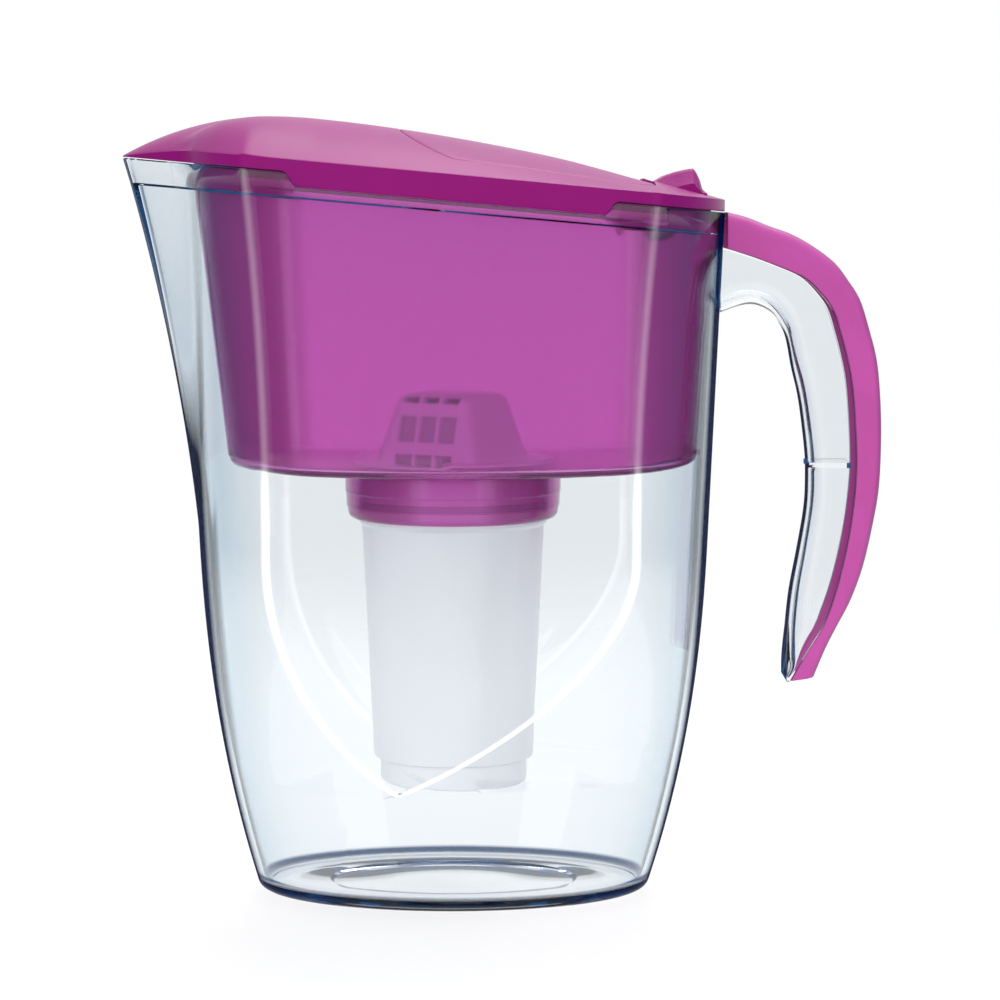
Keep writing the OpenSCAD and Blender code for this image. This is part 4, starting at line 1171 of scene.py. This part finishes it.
class PITCHER_OT_door(bpy.types.Operator):
    """Models the flip door with its thumb lever and trunnions"""

    bl_idname = "pitcher.door"
    bl_label = "Flip Door"

    def execute(self, context):
        l = context.scene.pitcher_lid
        lf = LidForm(Form(context.scene.pitcher_jug), l)
        outline = np.array(lf.door(0))
        centre = np.array([28.0, 0.0])

        def ring(share, drop, inset=0.0):
            d = outline - centre
            r = centre + d * share - d / np.linalg.norm(d, axis=1)[:, None] * inset
            return raised(r, lf.z(r[:, 0], r[:, 1]) - drop)

        shares = [0.05, 0.15, 0.25, 0.35, 0.45, 0.55, 0.65, 0.74, 0.82, 0.89, 0.95]
        thick = 2.2
        rings = [ring(s, thick) for s in shares]
        for drop, inset in ((thick, 0.3), (thick - 0.3, 0), (0.4, 0), (0.12, 0.1), (0, 0.4)):
            rings.append(ring(1, drop, inset))
        door = wrap("door_piece", rings + [ring(s, 0) for s in shares[::-1]], caps="points")
        cut(door, self.lever(lf), "UNION")
        for side in (-1, 1):
            cut(door, self.pin(lf, side), "UNION")
        smooth(door)
        dress(door, materials()["lid"], "door", ["flip_door"])
        return {"FINISHED"}

    def lever(self, lf):
        """The thumb lever, sunk into the door's end."""
        x, z = lf.hinge()
        start = lf.lid.door_end - 3
        top = lf.line_at(start)
        outline = [(start, top - 0.25), *lf.hump(), (x + 7.6, z - 2.2), (x + 2, z - 3), (x - 2.4, z - 2.6),
                   (x - 5, lf.line_at(x - 5) - 3.2), (start, top - 2.0)]
        return soften(sideways("lever", outline, -lf.lid.lever, lf.lid.lever), 0.3, angle=50)

    def pin(self, lf, side):
        """One trunnion, with a bevelled end."""
        x, z = lf.hinge()
        rings = []
        for y, r in ((-0.5, 1.5), (2.2, 1.5), (2.5, 1.2)):
            rings.append(np.array([(x + r * math.cos(a), side * (lf.lid.lever + y), z + r * math.sin(a))
                                   for a in np.linspace(0, 2 * math.pi, 32, endpoint=False)]))
        return wrap("pin", rings, caps="fill")


class PITCHER_OT_cartridge(bpy.types.Operator):
    """Models the cartridge: body, bottom cup, windowed hood and seal"""

    bl_idname = "pitcher.cartridge"
    bl_label = "Cartridge"

    def execute(self, context):
        self.c = context.scene.pitcher_cartridge
        self.seat = context.scene.pitcher_hopper.floor_h - 0.8 + 0.3
        self.top = self.seat + 2.5
        self.foot = context.scene.pitcher_hopper.floor_h - context.scene.pitcher_hopper.socket_deep
        self.plug = self.c.cap_r - 2.6
        for make, name, finish, node, slot in (
                (self.body, "cartridge_body", "white", "cartridge_shell", "white_plastic"),
                (self.cup, "cartridge_cup", "white", "cartridge_cap", "white_plastic"),
                (self.seal, "cartridge_seal", "seal", "seal_ring", "seal"),
                (self.hood, "cartridge_hood_piece", "white", "cartridge_hood", "white_plastic")):
            dress(make(name), materials()[finish], "cartridge", [node])
        for name, finish in (("inlet_screen", "screen"), ("upper_felt", "felt"), ("lower_felt", "felt"),
                             ("filter_media", "bed")):
            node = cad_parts[name]
            node.data.materials.clear()
            node.data.materials.append(materials()[finish])
        return {"FINISHED"}

    def body(self, name):
        """The tapered body with its flange, neck and seal groove."""
        c, seat, top = self.c, self.seat, self.top
        groove, groove_r, groove_h = self.foot + 4.4, c.neck_r - 1.2, 2.2
        neck, neck_in = self.foot - 1.8, groove_r - c.wall + 0.3
        plug = self.plug + 0.3

        def inside(z):
            return mix(c.low_r, c.top_r, (z - c.foot_h) / (neck - c.foot_h)) - c.wall

        return smooth(spin_profile(name, [
            (c.flange_r - 0.3, seat), (c.flange_r, seat + 0.3), (c.flange_r, top - 0.4),
            (c.flange_r - 0.4, top), (neck_in, top), (neck_in, neck + 1), (inside(neck - 4), neck - 4),
            (inside(c.foot_h + c.wall), c.foot_h + c.wall), (plug, c.foot_h + c.wall), (plug, c.foot_h),
            (c.low_r - 1.1, c.foot_h), (c.low_r - 0.35, c.foot_h + 0.3), (c.low_r, c.foot_h + 1),
            (c.top_r, neck - 0.6), (c.neck_r, neck + 0.6), (c.neck_r, groove), (groove_r, groove),
            (groove_r, groove + groove_h), (c.neck_r, groove + groove_h), (c.neck_r, seat)]))

    def cup(self, name):
        """The bottom cup, whose plug reaches into the body, with its drain slots."""
        c, plug = self.c, self.plug
        low = c.foot_h - c.cap_h
        plug_top, slots, half = c.foot_h + 3.4, 8, 1.2
        cup = spin_profile(name, [
            (AXIS, low), (c.cap_r - 1.4, low), (c.cap_r - 0.7, low + 0.2), (c.cap_r - 0.2, low + 0.7),
            (c.cap_r, low + 1.4), (c.cap_r, c.foot_h - 0.3), (c.cap_r - 0.3, c.foot_h), (plug, c.foot_h),
            (plug, plug_top), (plug - c.wall, plug_top), (plug - c.wall, low + 2 * c.wall),
            (plug - 2 * c.wall, low + c.wall), (AXIS, low + c.wall)])
        start, end = plug * 0.3, plug * 0.8
        for k in range(slots):
            a = 2 * math.pi * k / slots
            corners = ((start, -half), (end, -half), (end, half), (start, half))
            pts = [(x * math.cos(a) - y * math.sin(a), x * math.sin(a) + y * math.cos(a)) for x, y in corners]
            cut(cup, prism("slot", pts, low - 1, low + c.wall + 1))
        return smooth(cup)

    def seal(self, name):
        """The soft ring in the neck's groove."""
        inside, r, low = self.c.neck_r - 1.15, self.c.neck_r + 0.1, self.foot + 4.4
        return smooth(spin_profile(name, [
            (inside, low + 0.1), (r, low + 0.1), (self.c.neck_r + 0.2, low + 1.1), (r, low + 2.1),
            (inside, low + 2.1)]), 40)

    def hood(self, name):
        """The hood with its base and three rows of windows in one face."""
        c, top = self.c, self.top
        hood = self.hood_block(name, 0, 0)
        base_r = c.flange_r - 1.2
        base = spin_profile("base", [(AXIS, top), (base_r, top), (base_r, top + 1.3),
                                     (base_r - 0.3, top + 1.6), (AXIS, top + 1.6)])
        cut(hood, base, "UNION")
        hollow = self.hood_block("hollow", c.wall, c.wall)
        hollow.data.transform(Matrix.Translation((0, 0, -0.02 * MM)))
        cut(hood, hollow)
        half, pitch = c.hood_top / 4.2 / 2, c.hood_top / 4.2 * 1.165
        outside, inside = -c.hood_foot / 2 - 2, -2
        for low, high in ((0.075, 0.165), (0.34, 0.7), (0.88, 0.96)):
            for column in (-1, 0, 1):
                y0, y1 = column * pitch - half, column * pitch + half
                cut(hood, prism("window", [(outside, y0), (inside, y0), (inside, y1), (outside, y1)],
                                top + c.hood_h * low, top + c.hood_h * high))
        hood.data.transform(Matrix.Rotation(c.hood_turn, 4, "Z"))
        return smooth(hood)

    def hood_block(self, name, grow, cut_top):
        """The hood's tapered block with its rounded top, drawn in by grow and lowered by cut_top."""
        c, corner, knee_share = self.c, 4.6, 0.87
        r, h = corner - grow / 2, c.hood_h - cut_top
        middle = mix(c.hood_foot, c.hood_top, knee_share)
        knee = knee_share * c.hood_h - cut_top

        def square(side, z, steps=8):
            pts = []
            for q in range(4):
                for k in range(steps + 1):
                    a = math.pi / 2 * (q + k / steps)
                    cx = (side / 2 - r) * (1 if q in (0, 3) else -1)
                    cy = (side / 2 - r) * (1 if q in (0, 1) else -1)
                    pts.append((cx + r * math.cos(a), cy + r * math.sin(a), z))
            return np.array(pts)

        rings = []
        for t in np.linspace(0, 1, 8):
            rings.append(square(mix(c.hood_foot, middle, t) - 2 * grow, self.top + knee * t))
        for a in np.linspace(0.2, math.pi / 2, 6):
            side = mix(middle, c.hood_top - 5, math.sin(a) ** 2 * 0.6 + 0.4 * (1 - math.cos(a)))
            rings.append(square(side - 2 * grow, self.top + mix(knee, h, math.sin(a))))
        return wrap(name, rings, caps="points")


# Colours of the room, as the clear plastic shows them
SIDES, FRONT, OVERHEAD = (0.07, 0.16, 0.26), (0.05, 0.07, 0.10), (1.15, 1.15, 1.17)

# Name, place in m, width, height, watts and what the lamp acts on
LAMPS = (("strip_left", (-1.23, -1.70, 0.42), 0.80, 1.2, 2.6, "gloss"),
         ("strip_right", (1.23, -1.70, 0.42), 0.80, 1.2, 2.6, "gloss"),
         ("fill", (-0.2, -1.9, 0.75), 1.3, 1.0, 18.0, "soft"),
         ("over", (0.3, 0.5, 1.5), 1.0, 1.0, 13.0, "both"))
LAMP_AIM = (0, 0, 0.13)
CAMERA_PLACE = (0.016, -1.105, 0.237)
CAMERA_TILT = math.radians(90 - 5.36)
LENS, SENSOR = 117, 36
FLOOR_SIZE, FLOOR_DROP = 3, 0.0004
FLOOR_GLOW = 0.75
FLOOR_FADE = (0.45, 0.95)  # m from the middle, between which the floor fades out


def light_room(scene):
    """White behind the pitcher, bright overhead, blue grey at its sides and dark in front."""
    scene.world = scene.world or bpy.data.worlds.new("studio")
    p = Paint(scene.world, "OutputWorld")
    way = p.node("TexCoord", out="Generated")
    y, z = p.axis(way, 1), p.axis(way, 2)
    tone = p.blend(p.ramp(y, -0.5, -0.9, 0.0, 1.0), SIDES, FRONT)
    tone = p.blend(p.ramp(y, 0.45, 0.8, 0.0, 1.0), tone, WHITE)
    tone = p.blend(p.ramp(z, 0.25, 0.75, 0.0, 1.0), tone, OVERHEAD)
    tone = p.blend(p.node("LightPath", out="Is Camera Ray"), tone, WHITE)
    p.finish(p.node("Background", Color=tone, Strength=1.0))


def add_lamp(scene, name, place, wide, tall, power, kind):
    lamp = bpy.data.lights.new(name, "AREA")
    lamp.shape = "RECTANGLE"
    lamp.size, lamp.size_y = wide, tall
    lamp.energy = power
    obj = bpy.data.objects.new(name, lamp)
    scene.collection.objects.link(obj)
    obj.location = place
    obj.rotation_euler = (Vector(LAMP_AIM) - Vector(place)).to_track_quat("-Z", "Y").to_euler()
    obj.visible_diffuse = kind != "gloss"
    obj.visible_glossy = obj.visible_transmission = kind != "soft"


def add_camera(scene):
    cam = bpy.data.cameras.new("camera")
    cam.sensor_width, cam.lens = SENSOR, LENS
    obj = bpy.data.objects.new("camera", cam)
    scene.collection.objects.link(obj)
    obj.location = CAMERA_PLACE
    obj.rotation_euler = (CAMERA_TILT, 0, 0)
    scene.camera = obj


def floor_paint(colour):
    """A pale floor that glows a little and fades out away from the middle."""
    p = Paint.new("studio_floor")
    far = p.node("VectorMath", out="Value", props={"operation": "LENGTH"}, i0=p.place())
    cloud = p.noise(3.0, detail=2.0)
    tone = p.blend(p.ramp(cloud, 0.3, 0.7, 0.0, 1.0), colour, [v * 0.995 for v in colour])
    top = p.node("BsdfPrincipled", Base_Color=tone, Roughness=0.6, Emission_Color=rgb(WHITE),
                 Emission_Strength=FLOOR_GLOW)
    fade = p.ramp(far, *FLOOR_FADE, 0.0, 1.0)
    return p.finish(p.node("MixShader", i0=fade, i1=top, i2=p.node("BsdfTransparent")))


class PITCHER_OT_stage(bpy.types.Operator):
    """Sets the pale floor, the studio light and the camera"""

    bl_idname = "pitcher.stage"
    bl_label = "Stage"

    def execute(self, context):
        scene = context.scene
        clear_selection()
        bpy.ops.mesh.primitive_plane_add(size=FLOOR_SIZE, location=(0, 0, 0))
        floor = context.object
        floor.name = "studio_floor"
        floor.data.transform(Matrix.Translation((0, 0, -FLOOR_DROP)))
        floor.data.materials.append(floor_paint(list(scene.pitcher_finish.floor)))
        light_room(scene)
        for lamp in LAMPS:
            add_lamp(scene, *lamp)
        add_camera(scene)
        scene.view_settings.view_transform = "Standard"
        return {"FINISHED"}


class PITCHER_PT_panel(bpy.types.Panel):
    """Lists the pitcher's pieces"""

    bl_label = "Filter Pitcher"
    bl_idname = "PITCHER_PT_panel"
    bl_space_type = "VIEW_3D"
    bl_region_type = "UI"
    bl_category = "Pitcher"

    def draw(self, context):
        for group in GROUPS:
            box = self.layout.box()
            sizes = getattr(context.scene, group)
            for key in sizes.__annotations__:
                box.prop(sizes, key)
        for op in OPERATORS:
            self.layout.operator(op.bl_idname)


OPERATORS = (PITCHER_OT_stage, PITCHER_OT_jug, PITCHER_OT_cover, PITCHER_OT_hopper, PITCHER_OT_cartridge,
             PITCHER_OT_lid, PITCHER_OT_door)
GROUPS = {"pitcher_jug": JugSizes, "pitcher_handle": HandleSizes, "pitcher_lid": LidSizes,
          "pitcher_hopper": HopperSizes, "pitcher_cartridge": CartridgeSizes, "pitcher_finish": Finishes}


def register():
    for cls in (*GROUPS.values(), *OPERATORS, PITCHER_PT_panel):
        bpy.utils.register_class(cls)
    for key, cls in GROUPS.items():
        setattr(bpy.types.Scene, key, PointerProperty(type=cls))


def unregister():
    for key in GROUPS:
        delattr(bpy.types.Scene, key)
    for cls in (*GROUPS.values(), *OPERATORS, PITCHER_PT_panel):
        bpy.utils.unregister_class(cls)


def main():
    register()
    for op in OPERATORS:
        group, name = op.bl_idname.split(".")
        result = getattr(getattr(bpy.ops, group), name)()
        if result != {"FINISHED"}:
            raise RuntimeError(f"{op.bl_idname} didn't finish")


if __name__ == "__main__":
    main()
